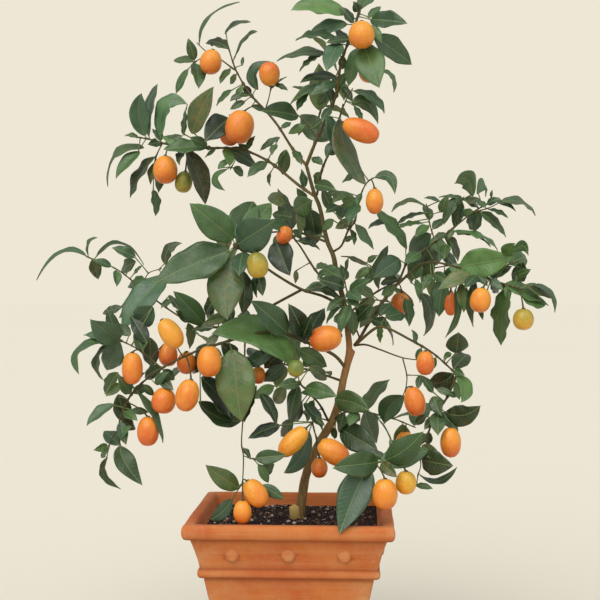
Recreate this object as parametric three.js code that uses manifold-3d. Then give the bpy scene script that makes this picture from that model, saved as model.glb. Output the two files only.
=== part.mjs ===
// A kumquat tree in a square terracotta planter, as an assembly of closed solids.
// Millimetres, +Z up. The origin is the centre of the planter's underside, and the planter's
// front faces -Y.
//
// The crown is laid out on its front elevation, the upright plane through the trunk: x runs
// across, z up, and depth says how far behind that plane (or, when negative, in front of it)
// a point lies. EYE is the point in front of the tree that the elevation belongs to, so a
// point with depth moves along its own line to EYE and keeps its place in the elevation.

import * as THREE from "three";
import { mergeVertices } from "three/addons/utils/BufferGeometryUtils.js";
import Module from "manifold-3d";

const wasm = await Module();
wasm.setup();

// ---- planter ----
const POT_HEIGHT = 190;
const FOOT_HALF = 65; // half the side of the square foot
const RIM_HALF = 114; // half the side of the square rim
const RIM_TALL = 16; // height of the rim roll
const RIM_PROUD = 4; // how far the roll stands out from its core
const FLARE_HALF = 106; // under the rim roll
const FLARE_LEAN = 0.7; // how straight the flare is: 1 is straight, 0 fully hollow
const NECK_HALF = 96; // just above the band
const BAND_Z = 136; // middle height of the raised band
const BAND_TALL = 10;
const BAND_PROUD = 2.5;
const BODY_HALF = 92.5; // just below the band
const WALL = 13;
const FLOOR_THICK = 12;
const SOIL_Z = 177; // the soil's level at the walls
const SOIL_MOUND = 3; // how much higher it is round the trunk
const SOIL_CROWN = 30; // half the side of the mound's top
const BOSS_RADIUS = 6.5;
const BOSS_PROUD = 3;
const BOSS_Z = 157;
const BOSS_STEP = 60; // between the bosses of a side
const DRAIN_RADIUS = 5;
const DRAIN_OFFSET = 45; // of each drain hole from the middle, in x and y

// ---- crown ----
const EYE = new THREE.Vector3(75, -1398, 438);
const EYE_DISTANCE = 1400;
const PLANE_TURN = 0.048; // how far the elevation's plane turns back per unit of x
const LEAF_THICK = 1; // at the midrib; the margins are sharp
const LEAF_FOLD = 0.3; // rise of a margin over the midrib, per unit of half width
const LEAF_SLENDER = 0.42; // a leaf's true width per unit of its length
const LEAF_ARCH = 0.045; // height of the midrib's arch per unit of length
const STEM_RADIUS = 0.9; // of the thin stem that carries a leaf or a fruit
const STEM_REACH = 7; // a leaf nearer than this to its twig sits on it without a stem
const STEM_LEAD = 0.1; // how much nearer a stemmed leaf's base is, per unit of its reach
const SEATED = 1; // a leaf nearer than this to its twig is seated on it
const BLADE_FULLNESS = 0.95; // a leaf's width at its two rings per unit of its full width
const TWIG_SIDES = 4;
const TWIG_STEP = 30; // length of one straight stretch of a twig
const STALK_ROOT = 3; // how deep a stalk goes into a fruit that is of one piece with its shoot
const SLIVER = 0.06; // the finest detail that a joined piece keeps
const WELD = 0.002; // corners nearer than this are one corner
const GAP = 0.35; // air between two pieces that touch
const MARGIN_AIR = 2.5; // how much more of it a leaf's sharp margins and ends keep
const GOLDEN_ANGLE = 2.39996; // turn between one leaf and the next round a twig
const BLADE_RINGS = [0, 0.3, 0.72, 1]; // places of a blade's rings of corners along its midrib
const HELD_SHARE = 0.35; // share of a twig's first stretch that carries nothing
const FREE_SHARE = 0.8; // share of its last stretch that may carry something
const NEAR_STEP = 0.1; // share of a stretch between the places tried on it
const SWING = 0.22; // how far a leaf's tip swings to the front or back per unit of its length
const SWING_MOST = 34;
const WIDTH_GAIN = 1.8; // a turned leaf is at most this many times as wide as it shows ...
const WIDTH_SPARE = 5; // ... and this much more
const EDGE_LEAST = 0.12; // the least of its width that a leaf shows
const SPIRAL_FIRST = 0.22; // place on its twig of a spiral's first leaf
const SPIRAL_SPAN = 0.76;
const SPIRAL_OUT = 0.9; // how far a spiral's leaves point out, along the twig and down
const SPIRAL_ALONG = 0.5;
const SPIRAL_DROOP = 0.15;
const SPIRAL_SIZES = [0.8, 1.04, 1.28, 0.92, 1.16]; // their lengths in turn
const STALK_BEND = 0.6; // place of a stalk's bend between its twig and its fruit
const STALK_ARCH = 0.15; // how far it bends over, per unit of length

const TERRACOTTA = { color: 0xc8733c, roughness: 0.85, metalness: 0 };
const SOIL = { color: 0x3c2d28, roughness: 1, metalness: 0 };
const BARK = { color: 0x82552a, roughness: 0.8, metalness: 0 };
const FOLIAGE = { color: 0x3f6b45, roughness: 0.4, metalness: 0 };

// Trunk, leader and graft stub: first and last diameter, then the route as [x, z, depth].
const TRUNK_LIMBS = [
  [11.5, 8, [3, 156, 0], [6, 172, 0], [10, 200, 1], [14, 225, 2], [22, 248, 2], [32, 268, 0],
    [45, 290, -3], [53, 315, -5], [58, 340, -5], [63, 358, -3], [67, 370, 0]],
  [7.4, 3.8, [61, 352, -4], [64, 372, -2], [62, 395, 0], [58, 425, 0], [50, 455, 0], [46, 478, 0],
    [39, 495, 2], [30, 535, 3], [24, 550, 3], [15, 582, 0]],
  [13, 11, [3, 170, -2], [2, 180, -3], [1, 191, -4]],
];

// Each spray is one piece: its twigs as above, then its leaves as
// [x, z of the base, x, z of the tip, width as it shows, reach, x, z of the midrib's middle].
// Reach is how much nearer the tip is than the base. Left out or 0, it follows from the width,
// because a leaf that shows short for its width points forwards or backwards.
const SPRAYS = [
  ["crown_top_spray", [
    [3.4, 2, [50, 665, -26], [55, 700, -32], [68, 735, -34], [78, 765, -30]],
    [1.6, 1, [57, 706, -32], [45, 708, -26], [30, 708, -20]],
    [1.6, 1, [62, 720, -34], [80, 720, -44], [92, 732, -50]],
  ], [
    [60, 754, -2, 762, 22, 0, 28, 765], [80, 757, 93, 778, 16], [88, 748, 130, 744, 20],
    [92, 730, 136, 697, 24], [85, 715, 97, 672, 32], [100, 690, 117, 665, 5, 0, 113, 682],
    [50, 727, 2, 727, 13, 0, 26, 731], [42, 709, -20, 703, 14, 0, 8, 710], [30, 708, 5, 692, 8],
    [62, 743, 18, 735, 16], [52, 722, 38, 690, 20], [78, 716, 62, 672, 16], [66, 742, 54, 764, 10],
    [60, 724, 47, 738, 9], [80, 752, 69, 769, 9], [86, 750, 100, 763, 9], [89, 742, 101, 722, 9],
    [88, 718, 98, 698, 9], [60, 728, 38, 722, 10], [58, 708, 56, 690, 9],
  ]],
  ["crown_middle_spray", [
    [4, 3.4, [15, 582, 0], [27, 612, -8], [40, 640, -18], [50, 665, -26]],
    [1.6, 1, [27, 612, -8], [16, 628, 0], [5, 640, 8]],
    [1.6, 1, [44, 650, -20], [38, 668, -14], [30, 678, -8]],
  ], [
    [52, 680, 8, 676, 12, 0, 30, 684], [30, 678, -6, 653, 11], [5, 636, -36, 645, 20],
    [40, 610, 5, 640, 25], [50, 676, 18, 664, 13], [44, 668, 28, 650, 10], [56, 672, 68, 655, 9],
    [54, 662, 62, 690, 10], [46, 654, 38, 676, 9], [16, 628, -6, 618, 9], [20, 622, 34, 634, 8],
    [18, 668, 2, 645, 10], [40, 650, 33, 632, 9],
  ]],
  ["second_upright_shoot", [
    [3, 1.6, [27, 548, 2], [33, 577, -12], [41, 597, -24], [52, 632, -38], [57, 652, -42]],
    [1.4, 1, [54, 640, -40], [62, 660, -46], [68, 670, -48]],
  ], [
    [68, 666, 106, 643, 12, 0, 90, 660], [67, 652, 99, 630, 16, 0, 85, 653], [70, 650, 79, 633, 6],
    [40, 640, 47, 600, 14], [50, 640, 86, 564, 19, 0, 62, 597], [44, 606, 66, 580, 12],
    [38, 592, 54, 604, 8], [34, 580, 20, 592, 9], [40, 612, 37, 590, 9], [28, 578, 24, 560, 10],
    [52, 552, 38, 548, 9],
  ]],
  ["upper_left_spray", [
    [3.6, 1.6, [15, 582, 0], [0, 600, 14], [-18, 628, 26], [-32, 645, 34], [-48, 662, 42],
      [-65, 690, 50], [-75, 720, 54]],
    [2, 1, [-65, 690, 50], [-95, 708, 56], [-115, 698, 58]],
    [1.4, 1, [-95, 708, 56], [-104, 716, 62], [-110, 722, 64]],
    [1.6, 1, [-32, 645, 34], [-28, 658, 28], [-25, 672, 24]],
  ], [
    [-108, 722, -61, 768, 8, 0, -95, 751], [-78, 732, -48, 748, 7, 0, -65, 744],
    [-70, 700, -41, 735, 7, 0, -56, 726], [-77, 713, -100, 721, 13, 0, -87, 723],
    [-112, 700, -120, 727, 12], [-118, 702, -137, 702, 10], [-115, 695, -107, 672, 14],
    [-120, 692, -134, 664, 10], [-40, 668, -23, 702, 13, 0, -45, 690], [-25, 675, -8, 684, 4],
    [-22, 675, -6, 668, 6], [-70, 668, -88, 650, 8], [-70, 690, -84, 676, 9], [-60, 675, -48, 660, 9],
    [-55, 655, -72, 646, 8], [-63, 686, -73, 674, 8], [-60, 674, -67, 655, 8], [-58, 696, -57, 706, 4],
    [-50, 660, -72, 656, 8, 0, -62, 662], [-48, 650, -28, 642, 7], [0, 600, 10, 584, 9],
    [-14, 622, -2, 632, 7],
  ]],
  ["upper_left_bough", [
    [3.6, 2.4, [24, 547, 4], [8, 558, 12], [-29, 587, 26], [-60, 600, 38], [-100, 602, 50]],
    [1.8, 1.2, [-60, 600, 38], [-67, 622, 46], [-73, 640, 50]],
    [1.4, 1, [-60, 600, 38], [-66, 588, 32], [-72, 577, 28]],
  ], [
    [-75, 640, -101, 610, 30], [-122, 600, -97, 537, 20], [-100, 602, -148, 600, 16],
    [-75, 600, -40, 580, 18], [-73, 580, -78, 553, 8, 0, -88, 567], [-70, 575, -56, 570, 9],
    [-30, 584, -52, 570, 13], [-15, 614, -38, 599, 8], [-20, 606, -25, 595, 8], [-8, 600, -12, 570, 14],
    [-116, 618, -92, 672, 26], [-26, 574, -28, 558, 5], [-98, 603, -118, 614, 11],
    [-86, 600, -101, 591, 6], [-52, 598, -44, 616, 7], [-125, 616, -121, 652, 9], [16, 556, 10, 578, 9],
    [-50, 596, -62, 606, 7], [-78, 596, -72, 582, 12], [-86, 578, -70, 592, 8],
  ]],
  ["upper_left_outer_spray", [
    [2.4, 1.4, [-100, 602, 50], [-140, 605, 60], [-165, 612, 66], [-178, 614, 68]],
    [1.6, 1, [-150, 606, 62], [-157, 590, 64], [-160, 553, 60]],
  ], [
    [-166, 615, -173, 664, 21, 0, -176, 641], [-163, 612, -156, 676, 14, 0, -166, 648],
    [-148, 612, -121, 652, 19, 0, -146, 650], [-170, 602, -217, 558, 12, 0, -203, 594],
    [-175, 598, -205, 569, 16], [-160, 596, -190, 546, 14], [-180, 615, -192, 617, 6],
    [-158, 590, -152, 550, 12], [-165, 553, -157, 524, 9], [-122, 604, -152, 618, 13],
    [-148, 606, -126, 616, 10], [-160, 586, -164, 560, 8], [-150, 612, -165, 606, 10],
    [-150, 612, -160, 625, 9], [-122, 598, -132, 584, 12],
  ]],
  ["centre_left_shoot", [
    [3, 1.6, [58, 425, 0], [27, 460, 16], [9, 488, 26], [-2, 505, 32], [0, 530, 36], [-12, 546, 38]],
    [1.4, 1, [0, 530, 36], [12, 536, 42], [22, 532, 44]],
  ], [
    [-20, 495, -4, 456, 28], [-12, 535, -28, 552, 16], [0, 530, 22, 542, 26], [22, 532, 26, 488, 22],
    [3, 462, 3, 447, 6], [4, 522, -24, 526, 14], [-8, 506, -32, 518, 14], [2, 508, 12, 498, 8],
    [14, 536, 4, 556, 10], [27, 462, 40, 470, 8], [10, 528, 8, 502, 10], [6, 498, 32, 488, 9],
    [38, 462, 28, 454, 8],
  ]],
  ["big_leaf_whorl", [
    [3.6, 2.6, [57, 420, 0], [35, 432, -20], [10, 440, -40], [-18, 456, -60], [-45, 475, -78],
      [-68, 492, -88]],
  ], [
    [-68, 497, -117, 538, 32], [-66, 498, -45, 543, 30], [-62, 494, -22, 518, 35],
    [-72, 484, -160, 446, 36, 24, -113, 469], [-70, 478, -76, 406, 38, 20, -78, 440],
    [-58, 462, -56, 410, 12], [-42, 462, -34, 433, 12], [-60, 496, -24, 540, 26],
    [-40, 464, -43, 431, 8], [-64, 500, -84, 528, 16], [-56, 488, -62, 456, 18],
    [16, 440, 52, 430, 9, 0, 36, 441],
  ]],
  ["far_left_spray", [
    [3.2, 1.2, [10, 440, -40], [-27, 420, -22], [-60, 400, 4], [-110, 400, 36], [-160, 430, 62],
      [-190, 455, 76], [-205, 465, 82], [-237, 478, 92]],
    [1.4, 1, [-172, 440, 68], [-166, 458, 74], [-150, 464, 80]],
  ], [
    [-146, 456, -202, 396, 34, 40], [-237, 478, -298, 453, 5, 0, -266, 482],
    [-237, 479, -225, 501, 4, 0, -234, 492], [-229, 477, -223, 450, 13, 0, -226, 464],
    [-203, 468, -229, 474, 9], [-227, 480, -166, 472, 5, 0, -198, 493], [-180, 477, -207, 489, 12],
    [-180, 472, -198, 460, 16], [-206, 460, -201, 444, 8], [-175, 455, -190, 443, 12],
    [-146, 468, -127, 493, 13, 0, -143, 486], [-170, 425, -200, 408, 12], [-182, 458, -172, 468, 5],
    [-196, 420, -218, 412, 10], [-98, 404, -137, 438, 22], [-86, 436, -101, 410, 13],
    [-78, 408, -101, 402, 12], [-88, 397, -116, 394, 10], [-140, 428, -151, 420, 8],
    [-52, 404, -61, 416, 12], [-118, 404, -134, 416, 10], [-72, 400, -88, 416, 12],
    [-142, 434, -129, 415, 7], [-122, 398, -118, 372, 9], [-80, 430, -68, 402, 12],
    [-90, 420, -100, 406, 9],
  ]],
  ["lower_left_bough", [
    [4, 2.6, [60, 350, -5], [48, 364, -14], [15, 380, -32], [-20, 392, -50], [-60, 385, -62],
      [-110, 370, -66]],
  ], [
    [-5, 395, -47, 428, 26], [5, 372, 40, 350, 18], [-70, 372, -60, 288, 42, 16],
    [-105, 340, -62, 288, 20, -30], [-10, 372, -33, 350, 18, -20], [-90, 375, -118, 344, 20, -40],
    [-108, 312, -58, 290, 15, -30, -86, 294], [-24, 368, -58, 352, 16, -12],
    [-10, 354, -35, 333, 16, -14], [-40, 384, -30, 362, 12, -16], [-100, 368, -84, 392, 10, -8],
    [-82, 378, -62, 356, 16], [16, 386, -3, 422, 20], [16, 384, 35, 421, 20], [12, 384, 20, 408, 16],
    [12, 362, 18, 350, 8],
  ]],
  ["lower_left_spray", [
    [2.6, 1.4, [-110, 370, -66], [-150, 350, -62], [-185, 320, -56], [-200, 280, -52], [-195, 250, -50]],
    [2, 1.2, [-150, 350, -62], [-178, 372, -54], [-200, 383, -50]],
    [1.6, 1, [-200, 280, -52], [-208, 268, -48], [-212, 255, -46]],
  ], [
    [-200, 387, -232, 405, 26], [-203, 385, -240, 392, 14], [-205, 380, -246, 343, 9, 0, -243, 372],
    [-198, 378, -213, 347, 24], [-212, 377, -219, 336, 10, 0, -224, 358], [-200, 345, -215, 320, 14],
    [-205, 309, -237, 285, 11], [-200, 320, -190, 283, 18], [-203, 292, -192, 262, 12],
    [-195, 262, -217, 280, 14], [-210, 262, -228, 256, 9], [-213, 258, -220, 247, 7],
    [-203, 262, -172, 218, 20, 0, -191, 241], [-212, 248, -197, 212, 5, 0, -217, 229],
    [-178, 322, -144, 267, 6], [-185, 302, -165, 300, 8], [-163, 385, -163, 350, 20, -24],
    [-160, 420, -180, 398, 24, -20], [-186, 322, -200, 341, 13], [-180, 316, -164, 331, 10],
    [-186, 332, -171, 346, 9], [-186, 388, -206, 402, 12], [-158, 332, -144, 346, 10],
    [-168, 372, -182, 392, 10], [-192, 300, -178, 290, 9], [-150, 350, -134, 336, 10],
    [-198, 272, -186, 284, 8], [-166, 378, -186, 412, 16], [-202, 388, -212, 418, 12],
    [-150, 352, -172, 338, 12], [-152, 338, -138, 326, 10], [-174, 334, -158, 318, 9],
    [-198, 332, -214, 318, 10], [-196, 292, -180, 280, 11],
  ]],
  ["low_front_shoot", [
    [3, 1.6, [40, 290, -3], [29, 310, -24], [5, 335, -44]],
    [1.8, 1.2, [40, 290, -3], [29, 292, -30], [20, 287, -42]],
  ], [
    [8, 346, -92, 392, 26, 30, -36, 389], [18, 352, 40, 336, 13], [15, 333, 50, 318, 17],
    [3, 333, -6, 285, 18], [12, 310, 35, 280, 12], [-8, 328, -22, 308, 14], [-15, 285, -52, 271, 14],
    [18, 278, -12, 231, 18, 0, 8, 248], [-22, 330, -47, 315, 13], [22, 312, 14, 288, 11],
    [28, 322, 8, 322, 8], [26, 300, 10, 300, 9], [6, 338, -16, 330, 12], [10, 312, 0, 288, 14],
    [20, 296, 36, 284, 8], [0, 290, -16, 272, 14],
  ]],
  ["low_right_shoot", [
    [2.4, 1.2, [45, 290, -3], [60, 300, -20], [85, 303, -34]],
  ], [
    [47, 314, 85, 302, 24, 0, 66, 311], [86, 303, 99, 262, 22, 0, 87, 283], [54, 281, 97, 255, 28],
    [60, 300, 50, 276, 10], [72, 302, 64, 284, 11], [48, 282, 46, 268, 8],
  ]],
  ["hanging_shoot", [
    [2, 1.2, [-55, 386, -62], [-57, 300, -70], [-59, 262, -72], [-57, 250, -72], [-58, 215, -76]],
    [1.2, 1, [-57, 250, -72], [-50, 247, -75], [-43, 246, -78]],
  ], [
    [-45, 246, -8, 250, 15], [-40, 240, -28, 218, 9], [-62, 212, -100, 237, 20],
    [-70, 200, -97, 177, 15, -20, -82, 185], [-36, 216, -10, 200, 12], [-22, 240, -37, 228, 12],
    [-54, 262, -48, 246, 5], [-42, 330, -56, 288, 9], [-38, 322, -16, 286, 10],
  ]],
  ["leader_right_shoot", [
    [2.6, 1.2, [47, 484, 0], [55, 490, -10], [64, 510, -18], [70, 517, -20], [75, 542, -28],
      [84, 562, -32], [92, 568, -34]],
    [1.4, 1, [55, 478, -6], [72, 476, -20], [92, 465, -30]],
  ], [
    [25, 560, 48, 555, 14], [55, 550, 75, 528, 14], [68, 540, 62, 515, 14], [73, 512, 92, 486, 11],
    [75, 555, 72, 532, 7], [80, 575, 55, 563, 8], [93, 566, 116, 549, 12, 0, 109, 568],
    [92, 465, 84, 446, 12], [44, 530, 33, 556, 12], [46, 520, 33, 508, 10], [52, 536, 37, 528, 10],
    [53, 520, 63, 541, 13], [60, 552, 45, 540, 12], [70, 518, 48, 510, 10], [67, 508, 71, 491, 6],
    [62, 476, 61, 459, 4], [58, 494, 70, 500, 7], [90, 466, 70, 452, 10], [84, 470, 96, 480, 7],
    [60, 475, 88, 467, 6],
  ]],
  ["right_bough", [
    [4, 2.6, [70, 376, 0], [76, 384, 5], [95, 417, 20], [118, 445, 34], [130, 472, 46]],
    [2, 1.2, [76, 384, 5], [70, 402, -14], [64, 428, -26], [58, 452, -32]],
    [1.8, 1.2, [95, 417, 20], [98, 412, 6], [106, 406, -6]],
  ], [
    [122, 475, 93, 455, 24], [130, 486, 95, 535, 12], [128, 430, 133, 398, 12], [58, 450, 33, 466, 16],
    [60, 440, 28, 452, 15], [58, 452, 56, 470, 10], [66, 436, 88, 452, 13], [40, 446, 11, 440, 9],
    [62, 424, 52, 388, 14], [68, 418, 70, 386, 13], [56, 430, 38, 416, 10], [54, 420, 36, 402, 6],
    [70, 404, 90, 424, 13], [82, 404, 98, 424, 12], [90, 404, 112, 396, 12], [104, 406, 129, 414, 17],
    [100, 400, 99, 379, 6], [106, 400, 117, 377, 4], [92, 432, 66, 446, 12], [100, 432, 118, 450, 11],
    [62, 440, 78, 426, 14], [60, 410, 44, 404, 10], [88, 410, 76, 396, 10], [114, 444, 100, 434, 9],
    [62, 430, 74, 420, 12], [116, 452, 98, 448, 12], [112, 424, 98, 410, 12],
  ]],
  ["right_upper_spray", [
    [2.6, 1.6, [130, 472, 46], [170, 500, 62], [205, 528, 76], [225, 540, 82]],
    [1.6, 1, [162, 495, 58], [156, 515, 66], [152, 538, 72]],
    [1.6, 1, [188, 514, 70], [190, 535, 74], [195, 546, 76]],
    [1.4, 1, [205, 528, 76], [225, 534, 70], [238, 541, 66]],
  ], [
    [150, 539, 112, 529, 6, 0, 131, 540], [150, 527, 115, 516, 5], [148, 516, 118, 510, 6],
    [160, 505, 130, 482, 20], [168, 541, 150, 546, 5], [195, 548, 166, 548, 6],
    [185, 546, 172, 514, 12], [196, 545, 184, 510, 14], [205, 546, 185, 561, 22, 0, 199, 566],
    [210, 549, 223, 547, 14, 0, 218, 561], [218, 540, 255, 531, 6, 0, 236, 540],
    [238, 541, 279, 526, 10, 0, 260, 540], [222, 532, 246, 523, 5], [212, 526, 246, 502, 14],
    [226, 545, 227, 554, 3], [212, 525, 202, 508, 16], [187, 503, 228, 492, 6, 0, 208, 502],
    [172, 498, 190, 488, 10], [175, 492, 172, 475, 12], [150, 490, 165, 468, 16, -16],
    [160, 486, 140, 462, 14, -24], [176, 500, 190, 472, 12, -20], [114, 512, 85, 512, 6, 0, 99, 516],
    [158, 518, 150, 540, 12], [168, 528, 177, 548, 10], [156, 506, 172, 521, 10],
    [154, 512, 139, 500, 9], [200, 538, 214, 546, 10], [196, 536, 186, 548, 10],
    [206, 534, 190, 526, 9], [150, 480, 127, 470, 13], [160, 476, 150, 446, 14],
    [168, 486, 188, 464, 12], [146, 480, 132, 446, 12], [184, 512, 174, 496, 8],
    [220, 532, 208, 544, 9], [176, 506, 160, 496, 9], [196, 540, 214, 534, 12], [220, 538, 236, 545, 8],
    [214, 526, 206, 506, 12], [182, 504, 236, 486, 8, 0, 214, 502],
  ]],
  ["right_cluster", [
    [3, 1.4, [118, 445, 34], [150, 470, 10], [190, 465, -18], [230, 450, -38], [262, 440, -44]],
    [1.6, 1, [230, 450, -38], [245, 468, -44], [258, 472, -46]],
  ], [
    [188, 463, 250, 476, 34], [245, 470, 268, 479, 18], [240, 480, 253, 493, 14],
    [262, 472, 255, 445, 16], [255, 455, 271, 463, 10], [240, 445, 292, 422, 18],
    [272, 446, 300, 414, 5, 0, 294, 438], [244, 440, 238, 376, 14], [207, 450, 203, 397, 12],
    [222, 440, 214, 405, 8], [205, 460, 165, 442, 16], [172, 456, 166, 408, 18],
    [192, 447, 196, 414, 14], [146, 436, 152, 385, 17, 0, 158, 412],
    [184, 440, 172, 388, 6, 0, 187, 412], [266, 446, 299, 429, 11], [176, 468, 202, 455, 13],
    [188, 464, 169, 447, 13], [160, 458, 178, 449, 12], [236, 448, 247, 431, 8],
    [222, 452, 240, 440, 10], [150, 466, 138, 452, 10], [208, 458, 222, 444, 10],
    [246, 462, 236, 474, 9], [158, 458, 146, 440, 10], [140, 452, 146, 425, 9],
    [250, 482, 267, 480, 12, 0, 262, 490], [224, 454, 250, 468, 12], [210, 454, 196, 442, 11],
    [222, 450, 234, 436, 12], [240, 444, 247, 426, 8], [252, 436, 290, 424, 13, 0, 275, 428],
  ]],
  ["right_middle_shoot", [
    [3.6, 1.8, [70, 376, 0], [97, 397, -20], [107, 396, -24], [133, 383, -34], [160, 367, -42],
      [187, 343, -48]],
    [2.6, 1.2, [70, 376, 0], [82, 377, -8], [100, 371, -20], [125, 362, -28], [146, 359, -34]],
    [1.6, 1.2, [125, 362, -28], [130, 340, -32], [128, 322, -36]],
  ], [
    [186, 367, 189, 391, 24], [185, 352, 202, 370, 18], [180, 368, 172, 361, 6],
    [187, 340, 152, 332, 24, 0, 170, 334], [187, 342, 192, 311, 17, 0, 196, 328],
    [127, 318, 104, 286, 24, 0, 110, 306], [144, 384, 136, 394, 7], [164, 362, 158, 348, 7],
    [184, 350, 196, 342, 8], [148, 374, 142, 356, 8], [146, 342, 142, 326, 8],
  ]],
  ["right_lower_spray", [
    [2.4, 1.6, [187, 343, -48], [178, 320, -50], [165, 300, -54], [156, 280, -60], [152, 270, -64]],
  ], [
    [174, 300, 214, 307, 23, 0, 194, 296], [160, 318, 168, 296, 16, 20], [160, 305, 165, 275, 18],
    [150, 283, 153, 262, 10], [168, 298, 190, 279, 12], [152, 296, 139, 285, 8],
    [160, 322, 146, 342, 9], [176, 316, 190, 322, 7], [164, 326, 184, 320, 8], [188, 340, 190, 314, 9],
    [158, 298, 150, 280, 10], [148, 278, 141, 262, 8],
  ]],
  ["rim_spray", [
    [2, 1.4, [152, 270, -64], [140, 258, -72], [120, 250, -82], [100, 243, -92], [84, 240, -100]],
    [1.4, 1, [140, 258, -72], [146, 240, -70], [142, 226, -72]],
  ], [
    [102, 240, 147, 277, 26, 0, 127, 256], [97, 242, 156, 256, 24], [142, 245, 182, 238, 26],
    [143, 226, 187, 237, 5, 0, 166, 222], [140, 216, 160, 213, 6], [106, 252, 80, 254, 8],
    [100, 243, 48, 237, 26], [83, 236, 53, 160, 34, 20, 70, 204], [146, 262, 170, 244, 14],
    [84, 230, 50, 206, 12, -14], [100, 242, 119, 225, 13], [120, 250, 110, 270, 9],
    [134, 256, 128, 236, 10],
  ]],
];

// Shoots at the back of the crown: count and length of the leaves that stand round them in a
// spiral, then the twig as above.
const BACK_SHOOTS = [
  ["back_crown_shoot", 9, 46, 3, 1.4, [24, 606, -4], [30, 640, 40], [44, 675, 76], [58, 700, 96]],
  ["back_left_shoot", 9, 48, 3, 1.4, [40, 494, 2], [0, 506, 60], [-50, 503, 104], [-84, 500, 130]],
  ["back_right_shoot", 10, 44, 3, 1.4, [60, 410, 0], [100, 440, 70], [150, 462, 116],
    [196, 470, 140]],
  ["back_low_left_shoot", 10, 48, 3, 1.4, [57, 335, -4], [10, 350, 60], [-60, 362, 106],
    [-120, 358, 132]],
  ["back_low_right_shoot", 8, 46, 3, 1.4, [50, 302, -4], [80, 300, 50], [115, 292, 92],
    [140, 282, 112]],
];

// Fruits: centre [x, z, depth], width, length, lean in degrees of the stalk end from upright
// (positive to the right), ripeness from 0, green, to 1, red-orange.
const FRUITS = [
  [78, 731, -62, 30, 32, 0, 0.78], [77, 622, -62, 26, 45, -67, 0.95],
  [-94, 700, 40, 25, 29, 10, 0.85], [-27, 686, 20, 24, 28, 175, 0.88],
  [-61, 626, 22, 33, 38, 15, 0.88], [-146, 577, 50, 28, 33, 0, 0.84],
  [-125, 563, 60, 20, 25, 10, 0.12], [-41, 468, -104, 25, 30, -10, 0.22],
  [93, 541, -46, 20, 30, 0, 0.8], [122, 424, 58, 22, 26, 10, 0.96],
  [214, 428, -56, 24, 29, 10, 0.8], [263, 406, -56, 24, 25, 0, 0.3],
  [37, 384, -48, 30, 38, 78, 0.9], [151, 356, -58, 21, 28, 0, 0.95],
  [139, 312, -56, 24, 35, -14, 0.95], [180, 265, -70, 24, 35, 0, 0.85],
  [105, 206, -112, 29, 36, 0, 0.82], [129, 219, -92, 24, 27, 0, 0.5],
  [0, 266, -64, 23, 43, 44, 0.68], [46, 254, -58, 27, 40, -56, 0.85],
  [-43, 207, -90, 25, 35, -35, 0.8], [-58, 185, -92, 21, 28, 0, 0.82],
  [-140, 390, -80, 25, 38, -34, 0.66], [-143, 366, -44, 22, 28, 0, 0.95],
  [-122, 356, -40, 22, 26, 0, 0.92], [-96, 358, -84, 28, 36, 0, 0.85],
  [-184, 350, -72, 24, 37, 0, 0.88], [-148, 313, -68, 28, 30, 10, 0.92],
  [-121, 319, -94, 27, 38, 14, 0.86], [-166, 278, -66, 25, 34, 0, 0.97],
  [3, 350, -74, 19, 20, 0, 0.05],
];

// Small and shaded fruits, each of one piece with the shoot that it grows on.
const SHADED_FRUITS = [
  [-72, 618, 46, 24, 28, 10, 0.96], [-10, 502, 20, 18, 22, 20, 0.95],
  [180, 424, -4, 15, 28, 0, 1], [30, 236, -34, 19, 23, 0, 0.95],
  [-40, 342, -30, 17, 20, 0, 0.9], [86, 692, 88, 24, 32, 0, 0.86],
  [-76, 440, 118, 24, 32, 0, 0.9], [-60, 334, 112, 25, 33, 0, 0.9],
  [128, 262, 100, 24, 32, 0, 0.86],
];

const UP = new THREE.Vector3(0, 0, 1);
const FORWARD = new THREE.Vector3(0, -1, 0);

/** The point of the tree at x, z of the elevation and that depth. */
function place(x, z, depth) {
  const onPlane = new THREE.Vector3(x, x * PLANE_TURN, z);
  return onPlane.sub(EYE).multiplyScalar(1 + depth / EYE_DISTANCE).add(EYE);
}

// ---- solids ----

/** A closed three.js geometry as a manifold solid with its faces pointing out. */
function solid(geometry) {
  const bare = geometry.clone();
  bare.deleteAttribute("normal");
  bare.deleteAttribute("uv");
  const merged = mergeVertices(bare, WELD);
  const vertProperties = new Float32Array(merged.attributes.position.array);
  const triVerts = new Uint32Array(merged.index.array);
  const made = new wasm.Manifold(new wasm.Mesh({ numProp: 3, vertProperties, triVerts }));
  if (made.volume() > 0) return made;
  for (let i = 0; i < triVerts.length; i += 3) {
    [triVerts[i], triVerts[i + 1]] = [triVerts[i + 1], triVerts[i]];
  }
  return new wasm.Manifold(new wasm.Mesh({ numProp: 3, vertProperties, triVerts }));
}

function geometryOf(shape) {
  const mesh = shape.getMesh();
  const geometry = new THREE.BufferGeometry();
  geometry.setAttribute("position", new THREE.BufferAttribute(mesh.vertProperties, 3));
  geometry.setIndex(new THREE.BufferAttribute(mesh.triVerts, 1));
  return geometry;
}

const join = (solids) => wasm.Manifold.union(solids);

function biggest(shape) {
  return shape.decompose().reduce((a, b) => (b.volume() > a.volume() ? b : a));
}

/** The largest of a solid's separate bodies, without slivers. */
function largest(shape) {
  return biggest(solid(geometryOf(biggest(shape).simplify(SLIVER))));
}

/** A solid as a named mesh that stands at origin. */
function piece(name, shape, origin, look) {
  const geometry = geometryOf(shape);
  geometry.translate(-origin.x, -origin.y, -origin.z);
  geometry.computeVertexNormals();
  const made = new THREE.Mesh(geometry, new THREE.MeshStandardMaterial(look));
  made.name = name;
  made.position.copy(origin);
  return made;
}

// ---- planter and soil ----

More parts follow.
